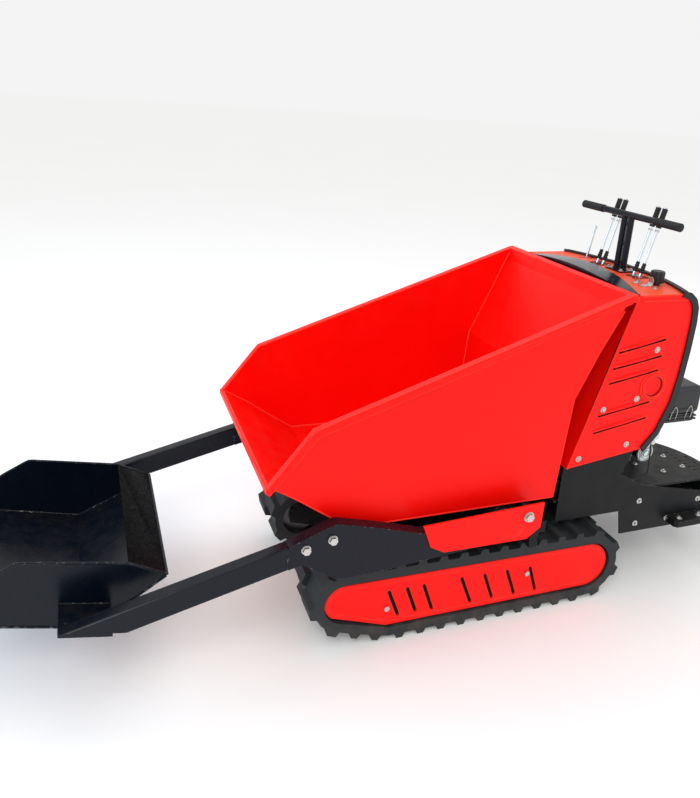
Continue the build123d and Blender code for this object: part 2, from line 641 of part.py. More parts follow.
# control valve and its levers
valve = block(-566, -494, -136, 128, 956, 986)
for y in LEVER_Y:
    valve += block(-546, -514, y - 13, y - 8, 986, 1010)
    valve += block(-546, -514, y + 8, y + 13, 986, 1010)
    valve += round_y(*LEVER_PIVOT, 4.0, y - 8, y + 8)
valve += block(-566, -494, -319, -136, 956, 966)
valve += block(-566, -494, 128, 319, 956, 966)
bracket_y = THROTTLE[1] - 13.0
valve += block(THROTTLE[0] - 9, THROTTLE[0] + 14, bracket_y - 8, bracket_y, 966, 1060)
valve += round_y(THROTTLE[0], THROTTLE[2], 4.0, bracket_y - 1, bracket_y + 18)
save(valve, "control_valve")

lean = math.radians(LEVER_LEAN)
for count, y in enumerate(LEVER_Y):
    reach = 336.0
    end = (LEVER_PIVOT[0] - reach * math.sin(lean), LEVER_PIVOT[1] + reach * math.cos(lean))
    lever = aimed(LEVER_PIVOT, end, 5.0, 6.0, reach - 60, y)
    lever += aimed(LEVER_PIVOT, end, 8.5, reach - 62, reach, y)
    lever += round_y(*LEVER_PIVOT, 10.0, y - 7, y + 7)
    lever -= round_y(*LEVER_PIVOT, 4.0 + FIT, y - 9, y + 9)
    save(lever, "lever_" + ("lift", "tip", "drive_left", "drive_right")[count])

throttle_end = (THROTTLE[0] - 25, THROTTLE[2] + 162)
throttle = aimed((THROTTLE[0], THROTTLE[2]), throttle_end, 4.0, 5.0, 156.0, THROTTLE[1])
throttle += aimed((THROTTLE[0], THROTTLE[2]), throttle_end, 6.5, 150.0, 163.0, THROTTLE[1])
throttle += round_y(THROTTLE[0], THROTTLE[2], 8.5, bracket_y + 1, bracket_y + 16)
throttle -= round_y(THROTTLE[0], THROTTLE[2], 4.0 + FIT, bracket_y, bracket_y + 20)
save(throttle, "throttle_lever")

# ------------------------------------------------------------------ tank, pump and hoses

tank = block(-440, -332, -240, 240, DECK_TOP, 700)
tank = fillet(tank.edges(), 10.0)
tank += round_z(-386, 206, 18.0, 695, 725)
save(tank, "hydraulic_tank")

cap = round_z(-541, 206, 23.0, 1099, 1138)
cap = fillet(cap.faces().sort_by(Axis.Z)[-1].edges(), 6.0)
for count in range(10):
    turn = math.radians(36.0 * count)
    cap -= round_z(-541 + 25.0 * math.cos(turn), 206 + 25.0 * math.sin(turn), 4.0, 1096, 1140)
cap += round_z(-541, 206, 11.8, 1060, 1099)
save(cap, "filler_cap")

pump = round_x(0, CRANK_Z, 40.0, -500, -462) + block(-462, -443, -38, 38, CRANK_Z - 38, CRANK_Z + 38)
save(pump, "hydraulic_pump")

hoses = []
for y in (-120.0, -70.0, 60.0, 108.0):
    line = FilletPolyline((-530, y, 956), (-530, y, 800), (-451, y, 760), (-451, y, 640), radius=30.0)
    hose = sweep(Plane(line @ 0, z_dir=line % 0) * Circle(7.5), path=line)
    end = round_z(-530, y, 11.0, 930, 956)
    hoses.append(hose + end + round_z(-451, y, 10.0, 625, 650))
save(group(hoses), "hydraulic_hoses")

# ------------------------------------------------------------------ engine

case = block(-672, -500, -105, 112, DECK_TOP + 14, 560)
case = fillet(case.edges().filter_by(Axis.X), 26.0)
case += round_x(0, CRANK_Z, 78.0, -686, -500)
for y in (-95.0, 95.0):
    case += block(-660, -512, y - 22, y + 22, DECK_TOP, DECK_TOP + 26)
save(case, "engine_block")

# finned cylinder, leaning to the right-hand side
barrel_axis = Pos(-590, -84, 560) * Rot(22, 0, 0)
cylinder = barrel_axis * Box(92, 92, 80)
for count in range(7):
    cylinder += barrel_axis * Pos(0, 0, -33 + 11 * count) * Box(118, 118, 5)
cylinder += barrel_axis * Pos(0, 0, 46) * Box(100, 100, 14)
cylinder -= case
cylinder = cylinder.solids().sort_by(SortBy.VOLUME)[-1]
save(cylinder, "engine_cylinder")

fuel = block(-700, -505, -60, 125, 640, 712)
fuel = fillet(fuel.edges(), 16.0)
fuel += block(-690, -515, -68, 133, 672, 677)
fuel += round_z(-600, 40, 24.0, 705, 722)
for x in (-668.0, -540.0):
    fuel += block(x - 14, x + 14, 44, 72, 560, 641)
fuel -= cylinder
save(fuel, "fuel_tank")

fuel_cap = round_z(-600, 40, 30.0, 722.4, 741)
fuel_cap = fillet(fuel_cap.faces().sort_by(Axis.Z)[-1].edges(), 4.0)
for count in range(8):
    turn = math.radians(45.0 * count)
    fuel_cap -= round_z(-600 + 33.0 * math.cos(turn), 40 + 33.0 * math.sin(turn), 6.0, 720, 745)
save(fuel_cap, "fuel_cap")

housing = round_x(0, CRANK_Z, 98.0, -748, -686)
housing = fillet(housing.faces().sort_by(Axis.X)[0].edges(), 14.0)
housing += round_x(0, CRANK_Z, 62.0, -766, -748)
housing += round_x(0, CRANK_Z, 34.0, -775, -766)
for count in range(12):
    turn = math.radians(30.0 * count + 15)
    housing -= round_x(75.0 * math.cos(turn), CRANK_Z + 75.0 * math.sin(turn), 4.0, -760, -740)
housing += block(-742, -700, -96, -60, 520, 590)
housing -= block(-734, -720, -100, -50, 574, 600)
save(housing, "recoil_housing")

handle = round_y(-727, 600, 9.0, -110, -56)
handle = fillet(handle.edges(), 4.0)
handle += round_z(-727, -83, 3.0, 576, 600)
save(handle, "recoil_handle")

muffler = block(-660, -530, -235, -150, 560, 650)
muffler = fillet(muffler.edges(), 18.0)
muffler += round_x(-192, 600, 13.0, -690, -655)
muffler += block(-620, -560, -152, -120, 585, 615)
muffler -= cylinder
save(muffler, "muffler")

cleaner = block(-765, -610, 146, 284, 640, 742)
cleaner = fillet(cleaner.edges(), 18.0)
lower = block(-755, -620, 152, 278, 612, 642)
lower = fillet(lower.edges().filter_by(Axis.Z), 14.0)
cleaner += lower
for count in range(2):
    cleaner += block(-758, -617, 149, 281, 617 + 12 * count, 622 + 12 * count)
save(cleaner, "air_cleaner")

carburettor = round_y(-600, 538, 20.0, 112, 236)
carburettor += block(-626, -578, 196, 244, 512, 560)
carburettor += round_y(-602, 484, 34.0, 200, 240)
carburettor += round_y(-602, 484, 18.0, 240, 248)
carburettor += round_z(-640, 195, 14.0, 550, 612)
carburettor += block(-652, -620, 150, 240, 530, 560)
carburettor += round_y(-600, 538, 11.0, 244, 262)
save(carburettor, "carburettor")

cable_line = FilletPolyline((-600, 262, 526), (-600, 276, 412), (-478, 284, 404), (-470, 284, 700),
                            (-476, 284, 938), (-476, -185, 938), (-594, -196, 940),
                            (-594, -204, 1030), radius=28.0)
cable = sweep(Plane(cable_line @ 0, z_dir=cable_line % 0) * Circle(3.0), path=cable_line)
save(cable, "throttle_cable")

# ------------------------------------------------------------------ platform

points = []
for count in range(41):
    turn = math.radians(90.0 + 180.0 * count / 40)
    x = -800.0 + PLATFORM_R * math.cos(turn)
    y = PLATFORM_R * math.sin(turn)
    if x <= -893.0:
        points.append((x, y))
half_chord = math.sqrt(PLATFORM_R ** 2 - 93.0 ** 2)
points = [(-893.0, half_chord)] + points + [(-893.0, -half_chord)]
plate = make_face(Polyline(*points, close=True))
platform = Pos(0, 0, PLATFORM_TOP - 30) * extrude(plate, amount=30)
platform = fillet(platform.edges().filter_by(lambda e: abs(e.center().Z - PLATFORM_TOP) < 0.1), 4.0)
pocket = offset(plate, amount=-7.0)
platform -= Pos(0, 0, PLATFORM_TOP - 31) * extrude(pocket, amount=25)
platform += block(-1120, -893, -8, 8, 222, 245)
for side in (-1, 1):
    low, high = sorted((side * 92.0, side * 145.0))
    platform += slab([(-915, 246), (-893, 246), (-880, 254), (-872, 262), (-878, 270), (-890, 268),
                      (-915, 250.5)], low, high)
platform += round_y(*PLATFORM_HINGE, 6.0, -168, 168)
save(platform, "standing_platform")

# ------------------------------------------------------------------ small fixings

fixings = []
for side in (-1, 1):
    low, high = sorted((side * COVER[1], side * (COVER[1] + 5)))
    for x, z in ((401, 118), (-100, 150)):
        fixings.append(hexagon_y(x, z, 17.0, low, high))
    low, high = sorted((side * GUARD[1], side * (GUARD[1] + 3)))
    washer = round_y(-18, 426, 17.0, low, high)
    low, high = sorted((side * (GUARD[1] + 3), side * (GUARD[1] + 12)))
    washer += hexagon_y(-18, 426, 24.0, low, high)
    fixings.append(washer)
    low, high = sorted((side * COWL_HALF, side * (COWL_HALF + 4)))
    for x, z in ((-443, 739), (-316, 712), (-435, 576), (-251, 544), (-489, 906)):
        fixings.append(round_y(x, z, 7.0, low, high))
save(group(fixings), "body_fasteners")
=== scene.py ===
import json

import bmesh
import bpy
import numpy as np
from bpy.props import FloatProperty, FloatVectorProperty, PointerProperty
from mathutils import Matrix, Vector


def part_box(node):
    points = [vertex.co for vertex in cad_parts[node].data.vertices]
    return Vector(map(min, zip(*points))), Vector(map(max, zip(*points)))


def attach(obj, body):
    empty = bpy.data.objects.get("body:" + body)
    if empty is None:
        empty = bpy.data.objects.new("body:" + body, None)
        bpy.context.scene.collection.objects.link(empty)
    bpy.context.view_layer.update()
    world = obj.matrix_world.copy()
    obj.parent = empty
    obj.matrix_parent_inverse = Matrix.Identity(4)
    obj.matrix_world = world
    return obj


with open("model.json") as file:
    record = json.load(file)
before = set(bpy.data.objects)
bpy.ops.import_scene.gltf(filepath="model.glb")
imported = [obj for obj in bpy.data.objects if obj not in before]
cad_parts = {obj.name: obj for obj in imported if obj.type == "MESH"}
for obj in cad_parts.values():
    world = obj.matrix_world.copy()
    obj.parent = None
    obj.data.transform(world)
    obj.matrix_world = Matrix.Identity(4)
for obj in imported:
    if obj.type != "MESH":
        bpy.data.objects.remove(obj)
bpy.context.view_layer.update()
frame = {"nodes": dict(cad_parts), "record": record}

bl_info = {
    "name": "Tracked power wheelbarrow",
    "version": (1, 0, 0),
    "blender": (4, 5, 0),
    "location": "View3D > Sidebar > Wheelbarrow",
    "description": "Finishes and fine details of a tracked power wheelbarrow with a loader",
    "category": "Add Mesh",
}

PIVOTS = {joint["name"]: joint for joint in frame["record"]["behaviour"]["joints"]}
# the skip's hinge is the datum of the drawing: 490 mm ahead of the machine's own origin
DATUM_X = PIVOTS["skip_tip"]["pos_m"][0] - 0.490
# places that several pieces share, in millimetres on the drawing
CONSOLE_TOP = 1090.0
LEVER_ROWS = (-120, -88, 80, 112)
LEVER_LEAN = 13.7
HANDLEBAR_X = -557
POST_ROWS = (-17, 17)
HOOD_HALF = 322.0
VENT_X, VENT_Z = -500, 779
STARTER_Z = 486
BOWL_X, BOWL_Z = -602, 484
# the camera: its lens, and where it stands and looks (degrees, and metres from the machine's origin)
CAMERA_LENS = 33.38
CAMERA_SHIFT = (-0.0165, -0.0773)
CAMERA_AZIMUTH, CAMERA_ELEVATION, CAMERA_ROLL = -111.18, -18.27, 3.59
CAMERA_PLACE = (1.2125, 2.0926, 1.6341)


def linear(code):
    """An sRGB hex colour as linear red, green and blue."""
    value = np.array([int(code[i:i + 2], 16) for i in (1, 3, 5)]) / 255.0
    return tuple(float(c) for c in np.where(value <= 0.04045, value / 12.92,
                                            ((value + 0.055) / 1.055) ** 2.4))


def at(*points):
    """Drawing places in millimetres (x, y, z) as an array of row places in metres."""
    places = np.asarray(points, dtype=float).reshape(-1, 3) / 1000.0
    places[:, 0] += DATUM_X
    return places


# ---------------------------------------------------------------- settings


def colour_setting(name, description, code):
    """A colour that can be changed in the panel."""
    return FloatVectorProperty(name=name, description=description, subtype="COLOR", size=3, min=0.0, max=1.0,
                               default=linear(code))


def length_setting(name, description, value):
    """A length in metres that can be changed in the panel."""
    return FloatProperty(name=name, description=description, unit="LENGTH", min=0.0, default=value)


class WheelbarrowColours(bpy.types.PropertyGroup):
    """Colours of the finishes."""

    powder_red: colour_setting("Powder coat", "Red powder coat of the skip, hood, guards and track covers",
                               "#F20600")
    # painted reflection: the blue in this black stands in for a blue reflection
    loader_black_blue_reflection: colour_setting("Loader paint", "Black gloss paint of the arms and the bucket", "#040A16")
    chassis_black: colour_setting("Chassis paint", "Satin black of the chassis, deck and platform", "#0B0D10")
    track_rubber: colour_setting("Track rubber", "Moulded rubber of the belts", "#1A2124")
    soil_dust: colour_setting("Dust", "Dry soil dust that gathers low down", "#8C7A66")
    # painted highlight: a lighter red painted on edges and rims, where they would catch the light
    painted_edge_highlight_red: colour_setting("Thin coat", "Lighter red where the coat is thin, on edges and rims", "#FF5A3C")
    # painted light: the orange-red cast on the console's upward faces stands in for the light that falls on
    # its top
    console_top_painted_light: colour_setting("Console top", "Orange-red cast of the console's upward faces", "#E8481A")
    floor: colour_setting("Floor", "Pale studio floor", "#F8F8F7")


class WheelbarrowSizes(bpy.types.PropertyGroup):
    """Sizes of the fine details."""

    weld_radius: length_setting("Weld radius", "Half the width of a fillet weld's bead", 0.0032)
    weld_ripple: length_setting("Weld ripple", "Distance between the ripples of a weld", 0.0042)
    fold_radius: length_setting("Fold radius", "Rounding of folded sheet and cut edges", 0.0022)
    lug_radius: length_setting("Lug rounding", "Rounding of the belts' moulded lugs", 0.0040)
    grip_rib: length_setting("Grip rib", "Distance between the ribs of a rubber grip", 0.0075)


def settings():
    """The two groups of settings on the scene."""
    scene = bpy.context.scene
    return scene.wheelbarrow_colours, scene.wheelbarrow_sizes


# ---------------------------------------------------------------- surfaces


def grid_faces(rows, cols, loop_rows=False, loop_cols=False):
    """Four-sided faces of a grid of rows by cols points, joined end to start where a direction loops."""
    r = np.arange(rows if loop_rows else rows - 1)[:, None]
    c = np.arange(cols if loop_cols else cols - 1)[None, :]
    right, up = (c + 1) % cols, (r + 1) % rows
    corners = np.broadcast_arrays(r * cols + c, up * cols + c, up * cols + right, r * cols + right)
    return np.stack(corners, axis=-1).reshape(-1, 4)


def unit(vectors):
    """Vectors scaled to length one."""
    return vectors / np.maximum(np.linalg.norm(vectors, axis=-1, keepdims=True), 1e-12)


def resample(points, step, loop=False):
    """A path through the points at even spacing: places interpolated on the length walked."""
    points = np.asarray(points, dtype=float)
    if loop:
        points = np.vstack([points, points[:1]])
    walked = np.concatenate([[0.0], np.cumsum(np.linalg.norm(np.diff(points, axis=0), axis=1))])
    count = max(int(walked[-1] / step), 2)
    where = np.linspace(0.0, walked[-1], count + 1)[:-1 if loop else None]
    return np.stack([np.interp(where, walked, points[:, i]) for i in range(3)], axis=1)


def rounded_path(points, radius, steps=8):
    """A path whose inner corners are bends: at each corner a parabola from radius before to radius after."""
    points = np.asarray(points, dtype=float)
    before, corner, after = points[:-2], points[1:-1], points[2:]
    start = corner + unit(before - corner) * radius
    end = corner + unit(after - corner) * radius
    t = np.linspace(0.0, 1.0, steps)[None, :, None]
    bends = (1 - t) ** 2 * start[:, None] + 2 * t * (1 - t) * corner[:, None] + t ** 2 * end[:, None]
    return np.vstack([points[:1], bends.reshape(-1, 3), points[-1:]])


def carry(path, outline, side, loop=False):
    """An outline carried along a path: each point is the path's place plus a times the side vector plus b
    times the vector square to both side and path."""
    path, outline = np.asarray(path, dtype=float), np.asarray(outline, dtype=float)
    ahead = unit(np.roll(path, -1, axis=0) - np.roll(path, 1, axis=0)) if loop else unit(np.gradient(path,
                                                                                                     axis=0))
    side = np.broadcast_to(unit(np.asarray(side, dtype=float)), path.shape)
    side = unit(side - ahead * np.sum(side * ahead, axis=1, keepdims=True))
    square = np.cross(ahead, side)
    if outline.ndim == 2:
        outline = np.broadcast_to(outline, (len(path),) + outline.shape)
    points = path[:, None] + outline[..., :1] * side[:, None] + outline[..., 1:] * square[:, None]
    rows, cols = points.shape[:2]
    faces = [grid_faces(rows, cols, loop, True)]
    if not loop:
        faces += [np.arange(cols)[None, :], (rows - 1) * cols + np.arange(cols)[None, ::-1]]
    return points.reshape(-1, 3), faces


def tube(path, radius, sides=12, side=(0.0, 1.0, 0.0), loop=False):
    """A round bar along a path: a circle of the radius, which may change from place to place, carried along
    it."""
    turn = np.arange(sides) / sides * 2 * np.pi
    ring = np.stack([np.cos(turn), np.sin(turn)], axis=1)
    radius = np.broadcast_to(np.asarray(radius, dtype=float), (len(path),))
    return carry(path, ring[None] * radius[:, None, None], side, loop)


def lathe(profile, centre, axis, sides=32, hexed=()):
    """A turned shape: each (along, radius) of the profile becomes a ring round the axis. The rings listed in
    hexed are hexagons: their radius is divided by the cosine of the angle from the middle of the nearest
    flat."""
    profile = np.asarray(profile, dtype=float)
    axis = unit(np.asarray(axis, dtype=float))
    first = unit(np.cross(axis, (0.31, 0.87, 0.38)))
    second = np.cross(axis, first)
    turn = np.arange(sides) / sides * 2 * np.pi
    radius = np.repeat(profile[:, 1:2], sides, axis=1)
    flat = np.cos(np.pi / 6) / np.cos((turn + np.pi / 6) % (np.pi / 3) - np.pi / 6)
    radius[list(hexed)] *= flat
    ring = np.cos(turn)[:, None] * first + np.sin(turn)[:, None] * second
    points = np.asarray(centre) + profile[:, 0, None, None] * axis + radius[..., None] * ring[None]
    faces = [grid_faces(len(profile), sides, False, True)]
    faces += [np.arange(sides)[None, :], (len(profile) - 1) * sides + np.arange(sides)[None, ::-1]]
    return points.reshape(-1, 3), faces


def pillow(low, high, power=4.0, rows=18, cols=36):
    """A rounded block between two corners: a globe whose sines and cosines are raised to 2 over the power."""
    low, high = np.asarray(low, dtype=float), np.asarray(high, dtype=float)
    v, u = np.meshgrid(np.linspace(-np.pi / 2, np.pi / 2, rows), np.arange(cols) / cols * 2 * np.pi,
                       indexing="ij")
    bend = lambda value: np.sign(value) * np.abs(value) ** (2.0 / power)
    globe = np.stack([bend(np.cos(v)) * bend(np.cos(u)), bend(np.cos(v)) * bend(np.sin(u)), bend(np.sin(v))],
                     axis=-1)
    points = (low + high) / 2 + globe * (high - low) / 2
    return points.reshape(-1, 3), [grid_faces(rows, cols, False, True)]


def repeat(shape, offsets):
    """Copies of a shape at many offsets, worked out as one array."""
    points, faces = shape
    offsets = np.asarray(offsets, dtype=float).reshape(-1, 3)
    copies = (points[None] + offsets[:, None]).reshape(-1, 3)
    base = (np.arange(len(offsets)) * len(points))[:, None, None]
    return copies, [(block[None] + base).reshape(-1, block.shape[1]) for block in faces]


def flipped(shape):
    """The shape on the machine's other side: y changes sign."""
    points, faces = shape
    return points * (1.0, -1.0, 1.0), [block[:, ::-1] for block in faces]


def build(name, shapes, material, body, smooth=35.0):
    """One piece from several closed shapes: doubles merged, normals turned outwards, riding on a body."""
    points, faces, base = [], [], 0
    for shape_points, blocks in shapes:
        points.append(shape_points)
        for block in blocks:
            faces.extend((block + base).tolist())
        base += len(shape_points)
    mesh = bpy.data.meshes.new(name)
    mesh.from_pydata(np.vstack(points).tolist(), [], faces)
    work = bmesh.new()
    work.from_mesh(mesh)
    bmesh.ops.remove_doubles(work, verts=work.verts, dist=1e-6)
    bmesh.ops.dissolve_degenerate(work, edges=work.edges, dist=1e-7)
    bmesh.ops.recalc_face_normals(work, faces=work.faces)
    work.to_mesh(mesh)
    work.free()
    mesh.shade_smooth()
    mesh.set_sharp_from_angle(angle=np.radians(smooth))
    mesh.materials.append(material)
    piece = bpy.data.objects.new(name, mesh)
    bpy.context.scene.collection.objects.link(piece)
    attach(piece, body)
    return piece


def bead(points, radius, ripple, side=(0.0, 1.0, 0.0)):
    """A fillet weld: a tube along the seam whose radius swells by an eighth once every ripple."""
    path = resample(points, ripple / 4)
    walked = np.arange(len(path)) * ripple / 4
    return tube(path, radius * (1.0 + 0.12 * np.sin(2 * np.pi * walked / ripple)), 6, side)


def hexagon_bolt(centre, axis, across, washer=True):
    """A hexagonal head with a turned chamfer, on a washer."""
    half, lift = across / 2, 0.0
    shapes = []
    if washer:
        lift = across * 0.12
        shapes.append(lathe([(-0.0005, across * 0.95), (lift * 0.6, across * 0.95), (lift, across * 0.88),
                             (lift, 0.0)], centre, axis, 28))
    shapes.append(lathe([(0.0, half * 0.98), (lift, half * 0.98), (lift + across * 0.5, half * 0.98),
                         (lift + across * 0.58, half * 0.86), (lift + across * 0.58, 0.0)], centre, axis, 36,
                        (0, 1, 2)))
    return shapes


def button_screw(centre, axis, radius):
    """A domed screw head with a hexagonal socket."""
    profile = [(-0.0005, radius), (radius * 0.12, radius), (radius * 0.42, radius * 0.86),
               (radius * 0.6, radius * 0.55),
               (radius * 0.62, radius * 0.36), (radius * 0.2, radius * 0.34), (radius * 0.2, 0.0)]
    return lathe(profile, centre, axis, 24, (4, 5))


# ---------------------------------------------------------------- finishes


def add_node(tree, kind, inputs=None, **values):
    """Adds a node, sets its values, and links or sets its inputs."""
    node = tree.nodes.new(kind)
    for name, value in values.items():
        setattr(node, name, value)
    for name, value in (inputs or {}).items():
        if isinstance(value, bpy.types.NodeSocket):
            tree.links.new(value, node.inputs[name])
        else:
            node.inputs[name].default_value = value
    return node


def begin(name):
    """A new material: its tree, its object coordinates and its surface shader."""
    material = bpy.data.materials.new(name)
    material.use_nodes = True
    tree = material.node_tree
    tree.nodes.clear()
    place = add_node(tree, "ShaderNodeTexCoord").outputs["Object"]
    shader = add_node(tree, "ShaderNodeBsdfPrincipled")
    add_node(tree, "ShaderNodeOutputMaterial", {"Surface": shader.outputs[0]})
    return material, tree, place, shader


def edge_mask(tree, radius, low=0.03, high=0.25):
    """One where the surface turns sharply within the radius: how far the rounded normal leaves the true
    one."""
    rounded = add_node(tree, "ShaderNodeBevel", {"Radius": radius}, samples=4)
    true = add_node(tree, "ShaderNodeNewGeometry")
    same = add_node(tree, "ShaderNodeVectorMath", {0: rounded.outputs[0], 1: true.outputs["Normal"]},
                    operation="DOT_PRODUCT")
    return add_node(tree, "ShaderNodeMapRange", {"Value": same.outputs["Value"], "From Min": 1.0 - low,
                                                 "From Max": 1.0 - high}).outputs[0]


def dust_mask(tree, place, top, amount):
    """Dust that settles low down and on faces that look up, broken up by noise 40 mm across."""
    split = add_node(tree, "ShaderNodeSeparateXYZ", {0: place})
    low = add_node(tree, "ShaderNodeMapRange", {"Value": split.outputs["Z"], "From Min": top,
                                                "From Max": 0.0})
    normal = add_node(tree, "ShaderNodeNewGeometry")
    up = add_node(tree, "ShaderNodeSeparateXYZ", {0: normal.outputs["Normal"]})
    flat = add_node(tree, "ShaderNodeMapRange", {"Value": up.outputs["Z"], "From Min": 0.2, "From Max": 1.0,
                                                 "To Max": 0.35})
    both = add_node(tree, "ShaderNodeMath", {0: low.outputs[0], 1: flat.outputs[0]}, operation="ADD")
    patches = add_node(tree, "ShaderNodeTexNoise", {"Vector": place, "Scale": 25.0, "Detail": 6.0,
                                                    "Roughness": 0.62})
    broken = add_node(tree, "ShaderNodeMapRange", {"Value": patches.outputs[0], "From Min": 0.38,
                                                   "From Max": 0.72})
    product = add_node(tree, "ShaderNodeMath", {0: both.outputs[0], 1: broken.outputs[0]},
                       operation="MULTIPLY")
    return add_node(tree, "ShaderNodeMath", {0: product.outputs[0], 1: amount}, operation="MULTIPLY",
                    use_clamp=True).outputs[0]


def blend_colour(tree, factor, first, second):
    """A colour between two by a factor."""
    return add_node(tree, "ShaderNodeMix", {0: factor, 6: first, 7: second}, data_type="RGBA").outputs[2]


def four(colour, gain=1.0):
    """A colour with its alpha, made lighter or darker by a gain."""
    return tuple(min(c * gain, 1.0) for c in colour) + (1.0,)


def painted(name, colour, peel_mm, roughness, dust_top, dust, chips=0.0, shine=0.5, upward=None, painted_highlight=None):
    """Paint on sheet steel: slow colour drift, orange peel, dust, and bare steel on the edges where chips is
    set. A top colour, where given, goes on faces that look up above the console's height, as painted light on
    the lit top. An edge colour, where given, goes on the edges, as a painted highlight along them."""
    dusty = settings()[0].soil_dust
    material, tree, place, shader = begin(name)
    drift = add_node(tree, "ShaderNodeTexNoise", {"Vector": place, "Scale": 3.2, "Detail": 3.0})
    base = blend_colour(tree, drift.outputs[0], four(colour, 0.9), four(colour, 1.1))
    # painted light: upward faces above the console's height take the orange-red cast of a lit top
    if upward is not None:
        facing = add_node(tree, "ShaderNodeNewGeometry")
        split = add_node(tree, "ShaderNodeSeparateXYZ", {0: facing.outputs["Normal"]})
        height = add_node(tree, "ShaderNodeSeparateXYZ", {0: place})
        up = add_node(tree, "ShaderNodeMapRange", {"Value": split.outputs["Z"], "From Min": 0.5,
                                                   "From Max": 0.9})
        high = add_node(tree, "ShaderNodeMapRange", {"Value": height.outputs["Z"], "From Min": 1.06,
                                                     "From Max": 1.08})
        both = add_node(tree, "ShaderNodeMath", {0: up.outputs[0], 1: high.outputs[0]}, operation="MULTIPLY")
        base = blend_colour(tree, both.outputs[0], base, four(upward))
    # painted highlight: edges take the lighter red, standing in for the light they catch
    if painted_highlight is not None:
        highlight_share = add_node(tree, "ShaderNodeMath", {0: edge_mask(tree, 0.005), 1: 0.55}, operation="MULTIPLY")
        base = blend_colour(tree, highlight_share.outputs[0], base, four(painted_highlight))
    dirt = dust_mask(tree, place, dust_top, dust)
    base = blend_colour(tree, dirt, base, four(dusty))
    smear = add_node(tree, "ShaderNodeTexNoise", {"Vector": place, "Scale": 14.0, "Detail": 8.0,
                                                  "Roughness": 0.7})
    gloss = add_node(tree, "ShaderNodeMapRange", {"Value": smear.outputs[0], "From Min": 0.3,
                                                  "From Max": 0.75,
                                                  "To Min": roughness * 0.8, "To Max": roughness * 1.35})
    rough = add_node(tree, "ShaderNodeMath", {0: gloss.outputs[0], 1: dirt, 2: 0.0},
                     operation="MAXIMUM").outputs[0]
    metal = 0.0
    if chips > 0.0:
        edges = edge_mask(tree, 0.004)
        bite = add_node(tree, "ShaderNodeTexNoise", {"Vector": place, "Scale": 90.0, "Detail": 6.0})
        worn = add_node(tree, "ShaderNodeMapRange", {"Value": bite.outputs[0], "From Min": 0.62 - 0.2 * chips,
                                                     "From Max": 0.66 - 0.2 * chips})
        metal = add_node(tree, "ShaderNodeMath", {0: edges, 1: worn.outputs[0]}, operation="MULTIPLY",
                         use_clamp=True).outputs[0]
        base = blend_colour(tree, metal, base, four(linear("#8E9092")))
    peel = add_node(tree, "ShaderNodeTexNoise", {"Vector": place, "Scale": 1000.0 / peel_mm, "Detail": 2.0})
    bump = add_node(tree, "ShaderNodeBump", {"Height": peel.outputs[0], "Strength": 0.12, "Distance": 0.0004})
    for socket, value in (("Base Color", base), ("Roughness", rough), ("Normal", bump.outputs[0])):
        tree.links.new(value, shader.inputs[socket])
    if chips > 0.0:
        tree.links.new(metal, shader.inputs["Metallic"])
    shader.inputs["IOR"].default_value = 1.5
    shader.inputs["Specular IOR Level"].default_value = shine
    return material


def moulded(name, colour, grain_mm, roughness, depth=0.0003, dust_top=0.0, dust=0.0):
    """Plastic or rubber from a mould: fine grain, slight bloom, and dust low down and on faces that look up
    where dust is set.
    """
    dusty = settings()[0].soil_dust
    material, tree, place, shader = begin(name)
    bloom = add_node(tree, "ShaderNodeTexNoise", {"Vector": place, "Scale": 18.0, "Detail": 7.0,
                                                  "Roughness": 0.65})
    base = blend_colour(tree, bloom.outputs[0], four(colour, 0.72), four(colour, 1.35))
    if dust > 0.0:
        base = blend_colour(tree, dust_mask(tree, place, dust_top, dust), base, four(dusty, 0.8))
    rough = add_node(tree, "ShaderNodeMapRange", {"Value": bloom.outputs[0], "To Min": roughness * 0.85,
                                                  "To Max": min(roughness * 1.2, 1.0)})
    grain = add_node(tree, "ShaderNodeTexVoronoi", {"Vector": place, "Scale": 1000.0 / grain_mm})
    bump = add_node(tree, "ShaderNodeBump", {"Height": grain.outputs[0], "Strength": 0.35, "Distance": depth})
    for socket, value in (("Base Color", base), ("Roughness", rough.outputs[0]), ("Normal", bump.outputs[0])):
        tree.links.new(value, shader.inputs[socket])
    shader.inputs["IOR"].default_value = 1.49
    return material


